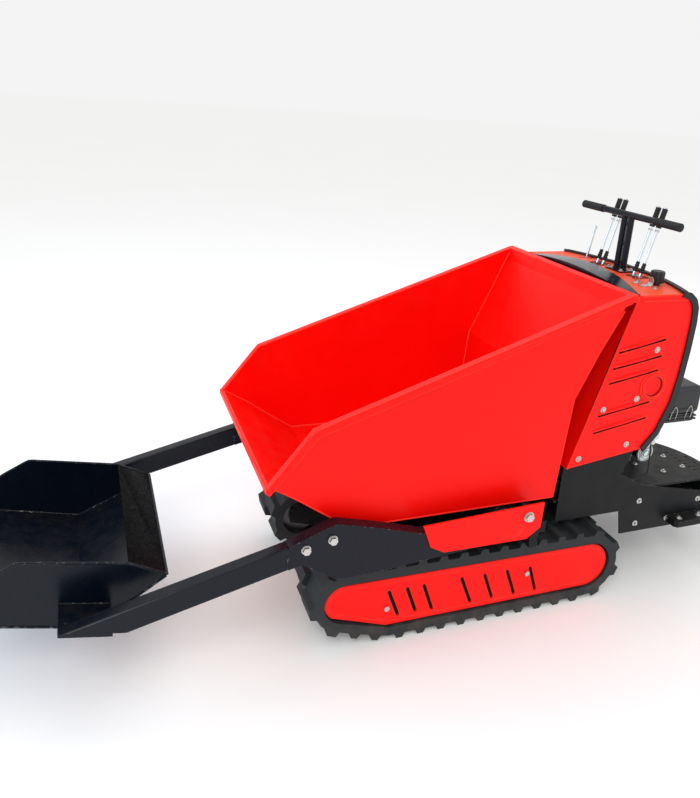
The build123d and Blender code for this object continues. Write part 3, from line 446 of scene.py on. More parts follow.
def bare_metal(name, colour, second, roughness, grain_mm, stretch=(1.0, 1.0, 1.0), depth=0.0001, rust=0.0):
    """Unpainted metal: two tones in patches, machining or casting grain, and rust where it is set."""
    material, tree, place, shader = begin(name)
    patches = add_node(tree, "ShaderNodeTexNoise", {"Vector": place, "Scale": 30.0, "Detail": 6.0,
                                                    "Roughness": 0.6})
    base = blend_colour(tree, patches.outputs[0], four(colour), four(second))
    stretched = add_node(tree, "ShaderNodeMapping", {"Vector": place, "Scale": stretch})
    grain = add_node(tree, "ShaderNodeTexNoise", {"Vector": stretched.outputs[0], "Scale": 1000.0 / grain_mm,
                                                  "Detail": 4.0})
    rough = add_node(tree, "ShaderNodeMapRange", {"Value": grain.outputs[0], "From Min": 0.3, "From Max": 0.7,
                                                  "To Min": roughness * 0.75,
                                                  "To Max": roughness * 1.3}).outputs[0]
    if rust > 0.0:
        spots = add_node(tree, "ShaderNodeTexNoise", {"Vector": place, "Scale": 60.0, "Detail": 9.0,
                                                      "Roughness": 0.7})
        eaten = add_node(tree, "ShaderNodeMapRange", {"Value": spots.outputs[0],
                                                      "From Min": 0.66 - 0.2 * rust,
                                                      "From Max": 0.74 - 0.2 * rust})
        base = blend_colour(tree, eaten.outputs[0], base, four(linear("#6A3A1E")))
        clean = add_node(tree, "ShaderNodeMath", {0: 1.0, 1: eaten.outputs[0]}, operation="SUBTRACT")
        tree.links.new(clean.outputs[0], shader.inputs["Metallic"])
        rough = add_node(tree, "ShaderNodeMath", {0: rough, 1: eaten.outputs[0]},
                         operation="MAXIMUM").outputs[0]
    else:
        shader.inputs["Metallic"].default_value = 1.0
    bump = add_node(tree, "ShaderNodeBump", {"Height": grain.outputs[0], "Strength": 0.3, "Distance": depth})
    for socket, value in (("Base Color", base), ("Roughness", rough), ("Normal", bump.outputs[0])):
        tree.links.new(value, shader.inputs[socket])
    return material


FINISHES = {}


def make_finishes():
    """Every finish of the machine, by the name that the pieces use."""
    colours = settings()[0]
    red, black = tuple(colours.powder_red), tuple(colours.loader_black_blue_reflection)
    satin, rubber = tuple(colours.chassis_black), tuple(colours.track_rubber)
    painted_highlight = tuple(colours.painted_edge_highlight_red)
    # polyester powder coat, sprayed and baked: even, glossy, with a faint orange peel, and a painted
    # highlight of lighter red on its edges
    FINISHES["powder_coat_red"] = painted("powder_coat_red", red, 2.2, 0.38, 0.12, 0.12, 0.0, 0.2, None, painted_highlight)
    # the same coat, with painted light: an orange-red cast painted on the console's upward faces, and the
    # painted edge highlight
    FINISHES["powder_coat_hood"] = painted("powder_coat_hood", red, 2.2, 0.4, 0.12, 0.1, 0.0, 0.2,
                                           tuple(colours.console_top_painted_light), painted_highlight)
    # two-pack gloss paint on welded steel: deep black, chipped on the edges, with a painted blue reflection
    # in its bluish tint
    FINISHES["gloss_paint_black"] = painted("gloss_paint_black", black, 3.0, 0.26, 0.12, 0.1, 0.3, 0.25)
    # satin stove enamel on the chassis
    FINISHES["satin_enamel_black"] = painted("satin_enamel_black", satin, 1.6, 0.46, 0.2, 0.2, 0.2, 0.22)
    # vulcanised rubber of the belts: matt, dusty, coarse grain drawn at 2 mm
    FINISHES["vulcanised_rubber_track"] = moulded("vulcanised_rubber_track", rubber, 2.0, 0.7, 0.0006, 0.16,
                                                  0.25)
    # extruded rubber edging: smooth, dull
    FINISHES["extruded_rubber_edge"] = moulded("extruded_rubber_edge", linear("#0C0D0E"), 1.4, 0.55)
    # open-cell black foam that lines the hood: a dark sheet that stands in for the shade inside the hood
    # behind the louvres
    FINISHES["lining_foam"] = moulded("lining_foam", linear("#07080A"), 3.0, 0.95, 0.0012)
    # soft moulded rubber of the grips
    FINISHES["moulded_rubber_grip"] = moulded("moulded_rubber_grip", linear("#101112"), 0.9, 0.68)
    # textured ABS of caps and air cleaner
    FINISHES["textured_abs_black"] = moulded("textured_abs_black", linear("#15171A"), 1.2, 0.42)
    # polished ABS of the crescent hood: its dark bluish black is painted shade of the gap under the skip's
    # rear rim, with a painted blue reflection
    FINISHES["polished_abs_black"] = painted("polished_abs_black", linear("#08101C"), 4.0, 0.2, 0.0, 0.0, 0.0,
                                             0.35)
    # electroplated zinc on the fasteners
    FINISHES["zinc_plate"] = bare_metal("zinc_plate", linear("#D4D6D8"), linear("#B9B7AC"), 0.32, 0.6)
    # hard chrome on rods and levers, ground bright
    FINISHES["hard_chrome"] = bare_metal("hard_chrome", linear("#EDEFF2"), linear("#DADDE2"), 0.12, 0.5,
                                         (8.0, 8.0, 1.0))
    # die-cast aluminium of the engine, shot-blasted
    FINISHES["die_cast_aluminium"] = bare_metal("die_cast_aluminium", linear("#A9ABAD"), linear("#8E9092"),
                                                0.5, 0.8,
                                                (1.0, 1.0, 1.0), 0.0003)
    # turned and polished aluminium of the carburettor
    FINISHES["turned_aluminium"] = bare_metal("turned_aluminium", linear("#DCE6EA"), linear("#B4C2C8"), 0.26,
                                              1.0,
                                              (1.0, 4.0, 1.0))
    # bare mild steel of wheels, shaft and cutting edge: brushed by soil, rust in patches
    FINISHES["worn_mild_steel"] = bare_metal("worn_mild_steel", linear("#8B8D90"), linear("#6C6E72"), 0.38,
                                             1.5,
                                             (1.0, 6.0, 6.0), 0.0003, 0.45)
    # grey cast iron under heat-proof paint: motors, muffler
    FINISHES["heat_proof_black"] = moulded("heat_proof_black", linear("#1C1C1D"), 1.0, 0.62, 0.0004)
    # glossy red injection-moulded plastic of the starter's centre and the oil plug
    FINISHES["moulded_red_plastic"] = moulded("moulded_red_plastic", linear("#B5160F"), 1.0, 0.4)


CAD_FINISH = {
    "powder_coat_red": ("skip_body", "track_cover_left", "track_cover_right", "arm_guard_left",
                        "arm_guard_right"),
    "powder_coat_hood": ("cowl",),
    "gloss_paint_black": ("bucket", "lift_arm_left", "lift_arm_right", "loader_tube_left",
                          "loader_tube_right",
                          "lift_barrels", "tip_barrel", "handlebar", "fuel_tank", "recoil_housing",
                          "bucket_edge"),
    "satin_enamel_black": ("chassis_frame", "engine_deck", "rear_side_plates", "track_frame_left",
                           "track_frame_right", "hydraulic_tank", "standing_platform"),
    "vulcanised_rubber_track": ("track_belt_left", "track_belt_right"),
    "extruded_rubber_edge": ("cowl_trim", "hydraulic_hoses", "throttle_cable"),
    "textured_abs_black": ("air_cleaner", "fuel_cap", "filler_cap", "recoil_handle"),
    "polished_abs_black": ("dash_hood",),
    "zinc_plate": ("body_fasteners", "loader_bolts"),
    "hard_chrome": ("lift_rods", "tip_rod", "lever_lift", "lever_tip", "lever_drive_left",
                    "lever_drive_right",
                    "throttle_lever"),
    "die_cast_aluminium": ("engine_block", "engine_cylinder", "hydraulic_pump"),
    "turned_aluminium": ("carburettor",),
    "worn_mild_steel": ("lift_shaft", "skip_pins", "sprocket_left", "sprocket_right", "idler_left",
                        "idler_right",
                        "roller_rear_left", "roller_rear_right", "roller_front_left", "roller_front_right"),
    "heat_proof_black": ("drive_motors", "muffler", "control_valve"),
}

# rounding of the edges of a CAD node, as a share of the fold radius
SOFTENED = {
    "skip_body": 1.0, "bucket": 0.9, "lift_arm_left": 1.0, "lift_arm_right": 1.0,
    "loader_tube_left": 1.6, "loader_tube_right": 1.6, "chassis_frame": 0.8, "engine_deck": 0.6,
    "rear_side_plates": 0.7, "hydraulic_pump": 0.8, "carburettor": 0.8, "handlebar": 0.6,
    "control_valve": 0.6,
    "bucket_edge": 0.5, "cowl_trim": 1.6, "fuel_tank": 0.6, "engine_cylinder": 0.4, "sprocket_left": 0.6,
    "sprocket_right": 0.6,
}


def soften(node, width):
    """Rounds the sharp edges of a CAD node: its loose triangles are welded, flat areas joined, edges
    bevelled."""
    obj = frame["nodes"][node]
    weld = obj.modifiers.new("weld", "WELD")
    weld.merge_threshold = 0.00002
    plain = obj.modifiers.new("plain", "DECIMATE")
    plain.decimate_type = "DISSOLVE"
    plain.angle_limit = np.radians(0.6)
    bevel = obj.modifiers.new("bevel", "BEVEL")
    bevel.width = width
    bevel.segments = 3
    bevel.limit_method = "ANGLE"
    bevel.angle_limit = np.radians(32.0)
    bevel.use_clamp_overlap = True
    bevel.miter_outer = "MITER_ARC"
    bevel.harden_normals = True


class WHEELBARROW_OT_finishes(bpy.types.Operator):
    """Give every frame part its finish and rounded edges"""

    bl_idname = "wheelbarrow.finishes"
    bl_label = "Finish the frame parts"

    def execute(self, context):
        make_finishes()
        for finish, nodes in CAD_FINISH.items():
            for node in nodes:
                obj = frame["nodes"][node]
                if not obj.material_slots:
                    obj.data.materials.append(FINISHES[finish])
                for slot in obj.material_slots:
                    slot.material = FINISHES[finish]
        sizes = settings()[1]
        for node, share in SOFTENED.items():
            soften(node, sizes.fold_radius * share)
        for node in ("track_belt_left", "track_belt_right"):
            soften(node, sizes.lug_radius)
        return {"FINISHED"}


class WHEELBARROW_OT_skip(bpy.types.Operator):
    """Weld seams and rolled rim of the skip"""

    bl_idname = "wheelbarrow.skip"
    bl_label = "Skip details"

    def execute(self, context):
        sizes = settings()[1]
        low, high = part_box("skip_body")
        wall = (high[1] - low[1]) / 2 * 1000 - 19.0
        inner = [(-311, 1083), (-240, 921), (-173, 771), (-149, 436), (535, 436), (599, 479), (699, 551),
                 (781, 602)]
        outer = [(-313, 1050), (-244, 918), (-178.5, 770), (-154.5, 431.5), (537, 430.5), (602, 474.5),
                 (702, 546.5),
                 (780, 596)]
        shapes = []
        for side in (-1, 1):
            seam = at(*[(x, side * (wall - 4.6), z) for x, z in inner])
            shapes.append(bead(seam, sizes.weld_radius, sizes.weld_ripple))
            seam = at(*[(x, side * (wall - 0.4), z) for x, z in outer])
            shapes.append(bead(seam, sizes.weld_radius * 0.8, sizes.weld_ripple))
        build("skip_welds", shapes, FINISHES["powder_coat_red"], "skip")
        # rolled rim: a round bead along the outer top edge of both flanges, the rear edge and the lip
        rim = []
        for side in (-1, 1):
            edge = at(*[(x, side * (wall + 14.5), z) for x, z in [(-331, 1097), (662, 756), (786, 600)]])
            rim.append(tube(resample(rounded_path(edge, 0.02), 0.02), 0.0062, 12))
        edge = at((-333, -wall - 12, 1096), (-333, wall + 12, 1096))
        rim.append(tube(resample(edge, 0.05), 0.0066, 12, (1.0, 0.0, 0.0)))
        edge = at((790.5, -wall - 12, 596), (790.5, wall + 12, 596))
        rim.append(tube(resample(edge, 0.05), 0.0056, 12, (1.0, 0.0, 0.0)))
        build("skip_rolled_rim", rim, FINISHES["powder_coat_red"], "skip")
        return {"FINISHED"}


class WHEELBARROW_OT_loader(bpy.types.Operator):
    """Welds, edge bars, bolts and grease nipples of the loader, caps of its shaft"""

    bl_idname = "wheelbarrow.loader"
    bl_label = "Loader details"

    def execute(self, context):
        sizes = settings()[1]
        low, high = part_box("bucket")
        half = (high[1] - low[1]) / 2 * 1000
        seams = []
        for side in (-1, 1):
            for y, line in (
                (half - 6.4, [(1060, 330), (1143, 278.4), (1289.5, 213), (1604, 285)]),
                (half + 0.2, [(1056, 327.5), (1141, 271.5), (1288, 205.8), (1606, 279)]),
            ):
                seams.append(bead(at(*[(x, side * y, z) for x, z in line]), sizes.weld_radius,
                                  sizes.weld_ripple))
            for rise in (-12.0, 1.0):
                line = at((1207, side * (half + 0.8), 267.5 + rise),
                          (1335, side * (half + 0.8), 292.5 + rise))
                seams.append(bead(line, sizes.weld_radius, sizes.weld_ripple))
            line = at(*[(x, side * 371.6, z) for x, z in [(1207, 268.0), (1322, 290.5)]])
            seams.append(bead(line, sizes.weld_radius, sizes.weld_ripple))
            for y in (371.8, 412.2):
                line = at((742.5, side * y, 372.0), (742.5, side * y, 437.0))
                seams.append(bead(line, sizes.weld_radius * 0.7, sizes.weld_ripple))
        build("loader_welds", seams, FINISHES["gloss_paint_black"], "loader")
        # round bars along the bucket's rear top edge and its side edges
        bars = [tube(resample(at((1053.5, -half + 2, 331.5), (1053.5, half - 2, 331.5)), 0.04), 0.0042, 12,
                     (1.0, 0.0, 0.0))]
        for side in (-1, 1):
            edge = at(*[(x, side * (half - 3), z) for x, z in [(1056, 332), (1155, 385), (1429, 434.6), (1515,
                389.5),
                                                              (1609, 300)]])
            bars.append(tube(resample(rounded_path(edge, 0.012), 0.01), 0.0038, 10))
        build("bucket_edge_bars", bars, FINISHES["gloss_paint_black"], "loader")
        # countersunk bolts of the cutting edge
        heads = []
        for y in np.linspace(-half + 45, half - 45, 6):
            heads += [lathe([(-0.004, 0.011), (0.0006, 0.011), (0.0012, 0.0095), (0.0012, 0.005),
                             (-0.001, 0.0048),
                             (-0.001, 0.0)], at((1586, y, 280.2))[0], (-0.224, 0.0, 0.974), 24, (3, 4))]
        build("bucket_edge_bolts", heads, FINISHES["worn_mild_steel"], "loader")
        # grease nipples on the arm eyes
        nipples = []
        for side in (-1, 1):
            nipples.append(lathe([(-0.001, 0.004), (0.003, 0.004), (0.004, 0.0028), (0.008, 0.0028),
                                  (0.01, 0.0035),
                                  (0.012, 0.002), (0.012, 0.0)], at((60, side * 392, 417))[0], (0, 0, 1), 16,
                                  (0, 1)))
        build("arm_grease_nipples", nipples, FINISHES["zinc_plate"], "loader")
        # shallow pressed cap over each end of the cross shaft, painted with the guard
        low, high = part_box("lift_shaft")
        pivot = PIVOTS["arm_lift"]["pos_m"]
        caps = []
        for side, y in ((-1, low[1]), (1, high[1])):
            caps.append(lathe([(0.0002, 0.0), (0.0002, 0.0204), (-0.0003, 0.0206), (-0.0003, 0.0214),
                               (0.0012, 0.0212), (0.0021, 0.0190), (0.0023, 0.0)],
                              np.array([pivot[0], y, pivot[2]]), (0, side, 0), 48))
        build("shaft_end_caps", caps, FINISHES["powder_coat_red"], "machine")
        return {"FINISHED"}


class WHEELBARROW_OT_tracks(bpy.types.Operator):
    """Raised ribs of the track covers"""

    bl_idname = "wheelbarrow.tracks"
    bl_label = "Track details"

    def execute(self, context):
        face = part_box("track_cover_left")[1][1] * 1000
        # a raised rib pressed round the cover, just inside its edge
        for side, hand in ((1, "left"), (-1, "right")):
            turn = np.radians(np.linspace(98.0, 270.0, 40))
            rear = np.stack([-341 + 68 * np.cos(turn), 0 * turn, 136 + 69 * np.sin(turn)], axis=1)
            turn = np.radians(np.linspace(-52.0, 88.0, 36))
            front = np.stack([545 + 47 * np.cos(turn), 0 * turn, 166 + 47 * np.sin(turn)], axis=1)
            ring = np.vstack([rear, [(397, 0, 67)], front])
            ring[:, 1] = side * (face - 0.4)
            path = resample(at(*ring), 0.012, True)
            turn = np.arange(10) / 10 * 2 * np.pi
            outline = np.stack([0.0018 * np.cos(turn), 0.004 * np.sin(turn)], axis=1)
            build("track_cover_rib_" + hand, [carry(path, outline, (0, 1, 0), True)],
                  FINISHES["powder_coat_red"],
                  "machine")
        return {"FINISHED"}


class WHEELBARROW_OT_hood(bpy.types.Operator):
    """Pressed louvres, screws and opening ring of the engine hood"""

    bl_idname = "wheelbarrow.hood"
    bl_label = "Hood details"

    def execute(self, context):
        louvres = ((-339, 906, -518, 942), (-327, 852, -513, 886), (-319, 802, -509, 837),
                   (-300, 691, -499, 726),
                   (-292, 632, -497, 669))
        lips = []
        # each louvre is a quarter-round lip whose height falls to nothing at both ends
        for x_front, z_front, x_rear, z_rear in louvres:
            t = np.linspace(0.0, 1.0, 28)
            swell = np.sin(np.pi * t) ** 0.35
            line = np.stack([x_front + (x_rear - x_front) * t, np.full_like(t, HOOD_HALF + 0.2),
                             z_front + 6.5 + (z_rear - z_front) * t], axis=1)
            turn = np.linspace(0, 2 * np.pi, 14, endpoint=False)
            outline = np.stack([0.0052 * np.cos(turn), 0.0060 * np.sin(turn)], axis=1)
            lips.append(carry(at(*line), outline[None] * np.maximum(swell, 0.15)[:, None, None], (0, 1, 0)))
        lips += [flipped(lip) for lip in lips]
        build("hood_louvre_lips", lips, FINISHES["powder_coat_hood"], "machine")
        # pressed beads below the folded top edge of each wall
        beads = []
        for side in (-1, 1):
            for x_front, x_rear, z in ((-392, -566, 1086), (-398, -578, 1070)):
                line = resample(at((x_front, side * HOOD_HALF, z), (x_rear, side * HOOD_HALF, z)), 0.01)
                beads.append(tube(line, 0.0021, 8))
        build("hood_fold_beads", beads, FINISHES["powder_coat_hood"], "machine")
        screws = []
        for side in (-1, 1):
            for x, z in ((-443, 739), (-316, 712), (-435, 576), (-251, 544), (-489, 906)):
                screws.append(button_screw(at((x, side * (HOOD_HALF + 3.6), z))[0], (0, side, 0), 0.0068))
                screws.append(lathe([(-0.0003, 0.0105), (0.0012, 0.0105), (0.0016, 0.0098), (0.0016, 0.0)],
                                    at((x, side * HOOD_HALF, z))[0], (0, side, 0), 28))
        build("hood_screws", screws, FINISHES["zinc_plate"], "machine")
        # rolled ring round each opening, the dark dish behind it and the dish's domed middle; the dish's
        # black is painted shade inside the opening
        cups, shade_dishes, domes = [], [], []
        for side in (-1, 1):
            cups.append(lathe([(-0.001, 0.0515), (0.002, 0.0525), (0.0034, 0.051), (0.0034, 0.0465),
                               (0.0, 0.0455),
                               (-0.001, 0.0515)], at((VENT_X, side * HOOD_HALF, VENT_Z))[0], (0, side, 0),
                               56))
            shade_dishes.append(lathe([(-0.016, 0.0), (-0.016, 0.0352), (0.0005, 0.0352), (0.0005, 0.033),
                                 (-0.012, 0.031),
                                 (-0.0125, 0.0)], at((VENT_X, side * HOOD_HALF, VENT_Z))[0], (0, side, 0),
                                 56))
            domes.append(lathe([(-0.013, 0.0), (-0.013, 0.021), (-0.004, 0.019), (-0.0025, 0.015),
                                (-0.002, 0.0)],
                               at((VENT_X, side * HOOD_HALF, VENT_Z))[0], (0, side, 0), 48))
        build("hood_vent_dishes", shade_dishes, FINISHES["textured_abs_black"], "machine")
        build("hood_vent_domes", domes, FINISHES["powder_coat_hood"], "machine")
        build("hood_vent_cups", cups, FINISHES["powder_coat_hood"], "machine")
        # foam lining behind the louvres, 5 mm thick, inside each wall: a dark sheet that paints the shade
        # inside the hood
        edge = [(-254, 620), (-346, 949), (-592, 949), (-585, 800), (-570, 712), (-528, 618)]
        shade_liners = []
        for side in (-1, 1):
            inner = at(*[(x, side * (HOOD_HALF - 15), z) for x, z in edge])
            outer = at(*[(x, side * (HOOD_HALF - 9.5), z) for x, z in edge])
            count = len(edge)
            faces = [grid_faces(2, count, False, True), np.arange(count)[None, :],
                     count + np.arange(count)[None, ::-1]]
            shade_liners.append((np.vstack([inner, outer]), faces))
        build("hood_lining", shade_liners, FINISHES["lining_foam"], "machine")
        return {"FINISHED"}


class WHEELBARROW_OT_console(bpy.types.Operator):
    """Grips, knobs, slot frames and the key of the console"""

    bl_idname = "wheelbarrow.console"
    bl_label = "Console details"

    def execute(self, context):
        sizes = settings()[1]
        # ribbed grips: a sleeve whose radius rises and falls once every rib
        grips = []
        for side in (-1, 1):
            along = np.linspace(136.0, 249.0, 190)
            wave = 13.3 + 0.6 * np.sin(2 * np.pi * (along - 136.0) / (sizes.grip_rib * 1000))
            wave[:4] = wave[-4:] = 14.2
            grips.append(lathe(np.vstack([[(0.136, 0.0)], np.stack([along, wave], axis=1) / 1000,
                                          [(0.2502, 0.011)],
                                          [(0.2508, 0.0)]]), at((HANDLEBAR_X, 0, 1287))[0], (0, side, 0), 28))
        build("handlebar_grips", grips, FINISHES["moulded_rubber_grip"], "machine")
        # lever knobs: ribbed sleeves with a domed end
        for name in ("lift", "tip", "drive_left", "drive_right"):
            joint = PIVOTS["lever_" + name + "_move"]
            pivot = np.array(joint["pos_m"])
            lean = np.radians(LEVER_LEAN)
            axis = np.array([-np.sin(lean), 0.0, np.cos(lean)])
            along = np.linspace(0.270, 0.333, 120)
            wave = 0.0092 + 0.0005 * np.sin(2 * np.pi * along / 0.0055)
            profile = np.vstack([[(0.268, 0.0), (0.268, 0.0075)], np.stack([along, wave], axis=1),
                                 [(0.3355, 0.0082), (0.3372, 0.005), (0.3378, 0.0)]])
            build("lever_knob_" + name, [lathe(profile, pivot, axis, 28)], FINISHES["moulded_rubber_grip"],
                  "lever_" + name)
            # locknut under the knob
            nut = lathe([(0.254, 0.0), (0.254, 0.0078), (0.262, 0.0078), (0.262, 0.0)], pivot, axis, 36,
                        (1, 2))
            build("lever_nut_" + name, [nut], FINISHES["zinc_plate"], "lever_" + name)
            # rubber boot above the slot: a cone with folds 8 mm apart
            along = np.linspace(0.1085, 0.144, 60)
            folds = 0.0084 - 0.0024 * (along - 0.1085) / 0.0355 + 0.0008 * np.sin(2 * np.pi * along / 0.008)
            profile = np.vstack([[(0.1085, 0.0)], np.stack([along, folds], axis=1), [(0.1445, 0.0)]])
            build("lever_boot_" + name, [lathe(profile, pivot, axis, 24)], FINISHES["moulded_rubber_grip"],
                  "lever_" + name)
        # pressed frames round the lever slots: a flat ring with rounded ends
        frames = []
        turn = np.linspace(0, 2 * np.pi, 48, endpoint=False)
        for y in LEVER_ROWS:
            ends = np.sign(np.cos(turn)) * 19.0
            ring = np.stack([-555 + ends + 10.5 * np.cos(turn), y + 10.5 * np.sin(turn),
                             np.full_like(turn, CONSOLE_TOP + 0.9)],
                            axis=1)
            bar = np.array([(-0.0022, -0.0012), (0.0022, -0.0012), (0.0016, 0.0012), (-0.0016, 0.0012)])
            frames.append(carry(at(*ring), bar[:, ::-1], (0, 0, 1), True))
        build("lever_slot_frames", frames, FINISHES["extruded_rubber_edge"], "machine")
        bolts = []
        for x in (-22, 22):
            for y in (-33, 33):
                bolts += hexagon_bolt(at((HANDLEBAR_X + x, y, CONSOLE_TOP + 6))[0], (0, 0, 1), 0.010)
        bolts += hexagon_bolt(at((-500, 250, CONSOLE_TOP))[0], (0, 0, 1), 0.010)
        build("console_bolts", bolts, FINISHES["zinc_plate"], "machine")
        # key switch with its key and a folded bracket beside the filler
        switch = [lathe([(0.0, 0.0), (0.0, 0.013), (0.002, 0.013), (0.0035, 0.0115), (0.0035, 0.007),
                         (0.0065, 0.0065),
                         (0.0065, 0.0)], at((-492, 170, CONSOLE_TOP))[0], (0, 0, 1), 32)]
        switch.append(pillow(at((-494, 159, CONSOLE_TOP + 6))[0], at((-490, 181, CONSOLE_TOP + 27))[0], 3.0,
                             10, 20))
        strip = rounded_path(at((-472, 206, CONSOLE_TOP + 0.8), (-506, 216, CONSOLE_TOP + 0.8),
                                (-511, 217, CONSOLE_TOP + 16),
                                (-505, 215, CONSOLE_TOP + 30)), 0.006, 6)
        bar = np.array([(-0.011, -0.0008), (0.011, -0.0008), (0.011, 0.0008), (-0.011, 0.0008)])
        switch.append(carry(resample(strip, 0.002), bar, (0, 1, 0)))
        build("key_switch", switch, FINISHES["zinc_plate"], "machine")
        # knurled sleeve and ball of the throttle lever, along the lever's own box
        low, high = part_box("throttle_lever")
        foot = np.array(PIVOTS["throttle_set"]["pos_m"])
        tip = np.array([(low[0] + high[0]) / 2, foot[1], high[2]])
        tip[0] = low[0] + 0.004 if abs(low[0] - foot[0]) > abs(high[0] - foot[0]) else high[0] - 0.004
        rise = unit(tip - foot)
        length = np.linalg.norm(tip - foot)
        along = np.linspace(0.055, length - 0.012, 150)
        wave = 0.0042 + 0.00035 * np.sin(2 * np.pi * along / 0.0035)
        profile = np.vstack([[(0.055, 0.0)], np.stack([along, wave], axis=1), [(length - 0.011, 0.0065)],
                             [(length - 0.005, 0.0072)], [(length, 0.0045)], [(length + 0.001, 0.0)]])
        build("throttle_sleeve", [lathe(profile, foot, rise, 24)], FINISHES["zinc_plate"], "throttle_lever")
        # ties between the handlebar's posts
        plates = []
        for z in (1112, 1180, 1250):
            plates.append(pillow(at((-560, -17, z))[0], at((-554, 17, z + 14))[0], 8.0, 10, 24))
        build("handlebar_ties", plates, FINISHES["gloss_paint_black"], "machine")
        seams = []
        for y in POST_ROWS:
            turn = np.linspace(0, 2 * np.pi, 60, endpoint=False)
            ring = np.stack([HANDLEBAR_X + 11.6 * np.cos(turn), y + 11.6 * np.sin(turn),
                             np.full_like(turn, 1097)], axis=1)
            seams.append(tube(at(*ring), 0.0026, 6, (0, 0, 1), True))
        build("handlebar_welds", seams, FINISHES["gloss_paint_black"], "machine")
        return {"FINISHED"}


class WHEELBARROW_OT_engine(bpy.types.Operator):
    """Fan grille, plug, clips, guard and bolts of the engine"""

    bl_idname = "wheelbarrow.engine"
    bl_label = "Engine details"

    def execute(self, context):
        centre = np.array([0.0, 0.0, STARTER_Z / 1000])
        # raised spokes between the vents, and the hub's rim
        spokes = []
        for turn in np.radians(np.arange(0, 360, 30)):
            ray = np.array([0.0, np.cos(turn), np.sin(turn)])
            line = np.array([centre + ray * 0.064, centre + ray * 0.088])
            line[:, 0] = at((-749, 0, 0))[0, 0]
            spokes.append(tube(resample(line, 0.004), 0.0028, 8, (1, 0, 0)))
        ring = np.linspace(0, 2 * np.pi, 72, endpoint=False)
        for radius, x in ((62.0, -766.0), (34.0, -774.0), (90.0, -748.5)):
            loop = np.stack([np.full_like(ring, x), radius * np.cos(ring), STARTER_Z + radius * np.sin(ring)],
                            axis=1)
            spokes.append(tube(at(*loop), 0.0024, 8, (1, 0, 0), True))
        build("recoil_ribs", spokes, FINISHES["gloss_paint_black"], "machine")
        centre_cap = lathe([(0.0, 0.0), (0.0, 0.030), (0.0016, 0.0296), (0.003, 0.026), (0.0034, 0.0)],
                           at((-774.6, 0, STARTER_Z))[0], (-1, 0, 0), 48)
        build("recoil_centre", [centre_cap], FINISHES["moulded_red_plastic"], "machine")
        bolts = []
        for turn in np.radians((45, 135, 225, 315)):
            bolts += hexagon_bolt(at((-748, 91 * np.cos(turn), STARTER_Z + 91 * np.sin(turn)))[0] + (0.001, 0,
                0), (-1, 0, 0),
                                  0.008, False)
        for x in (-660, -512):
            for y in (-112, 112):
                bolts += hexagon_bolt(at((x + (10 if x < -600 else -10), y, 406))[0], (0, 0, 1), 0.013)
        for x, z in ((-630, 420), (-545, 420), (-630, 530), (-545, 530)):
            bolts += hexagon_bolt(at((x, 112, z))[0], (0, 1, 0), 0.010)
        build("engine_bolts", bolts, FINISHES["zinc_plate"], "machine")
        # clips and wing nut of the air cleaner, seam of its cover
        clips = []
        lo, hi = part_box("air_cleaner")
        x0, x1, y0, y1 = lo[0], hi[0], lo[1], hi[1]
        edge = [(x0 + 0.02, y0, 0.662), (x1 - 0.02, y0, 0.662), (x1, y0 + 0.02, 0.662),
                (x1, y1 - 0.02, 0.662),
                (x1 - 0.02, y1, 0.662), (x0 + 0.02, y1, 0.662), (x0, y1 - 0.02, 0.662),
                (x0, y0 + 0.02, 0.662)]
        path = resample(edge, 0.006, True)
        inward = np.array([(x0 + x1) / 2, (y0 + y1) / 2, 0.648])
        path = inward + (path - inward) * 0.985
        bar = np.array([(-0.003, -0.0022), (0.003, -0.0022), (0.003, 0.0022), (-0.003, 0.0022)])
        build("air_cleaner_seam", [carry(path, bar[:, ::-1], (0, 0, 1), True)],
              FINISHES["textured_abs_black"],
              "machine")
        for x in (-720, -655):
            clips.append(tube(rounded_path(at((x - 12, 279, 624), (x - 12, 284.5, 655), (x, 285.5, 676),
                                              (x + 12, 284.5, 655),
                                              (x + 12, 279, 624)), 0.008, 6), 0.0014, 8, (0, 1, 0)))
        nut = at((-687, 215, 741))[0]
        clips.append(lathe([(-0.001, 0.006), (0.0008, 0.006), (0.0008, 0.0)], nut, (0, 0, 1), 24))
        build("air_cleaner_clips", clips, FINISHES["zinc_plate"], "machine")
        # spark plug, its cap and lead
        plug_base = np.array(at((-590, -103, 628))[0])
        build("spark_plug", [lathe([(-0.01, 0.0), (-0.01, 0.009), (0.006, 0.009), (0.006, 0.0065), (0.02,
                                                                                                    0.0055),
                                    (0.03, 0.0055), (0.03, 0.0)], plug_base, (0.0, -0.45, 0.9), 24, (1, 2))],
              FINISHES["zinc_plate"], "machine")
        lead = rounded_path(at((-590, -117, 655), (-600, -122, 668), (-640, -112, 664), (-672, -104, 628),
                               (-684, -96, 574)), 0.012, 6)
        cap = lathe([(0.0, 0.0), (0.0, 0.008), (0.02, 0.0095), (0.028, 0.008), (0.03, 0.0)],
                    plug_base + (0, -0.009, 0.018),
                    (0.0, -0.45, 0.9), 24)
        build("spark_lead", [cap, tube(resample(lead, 0.004), 0.0034, 10)], FINISHES["extruded_rubber_edge"],
              "machine")
        # oil filler
        oil = [lathe([(-0.002, 0.0), (-0.002, 0.013), (0.006, 0.0135), (0.01, 0.012), (0.01, 0.004),
                      (0.02, 0.0035),
                      (0.02, 0.0)], at((-648, 112, 446))[0], (0, 0.85, 0.5), 24)]
        build("oil_filler", oil, FINISHES["moulded_red_plastic"], "machine")
        # raised slots of the punched guard over the muffler
        slots = []
        for x in np.arange(-640, -545, 18):
            slots.append(pillow(at((x - 3, -236.2, 578))[0], at((x + 3, -233.0, 632))[0], 6.0, 8, 14))
        build("muffler_slots", slots, FINISHES["heat_proof_black"], "machine")
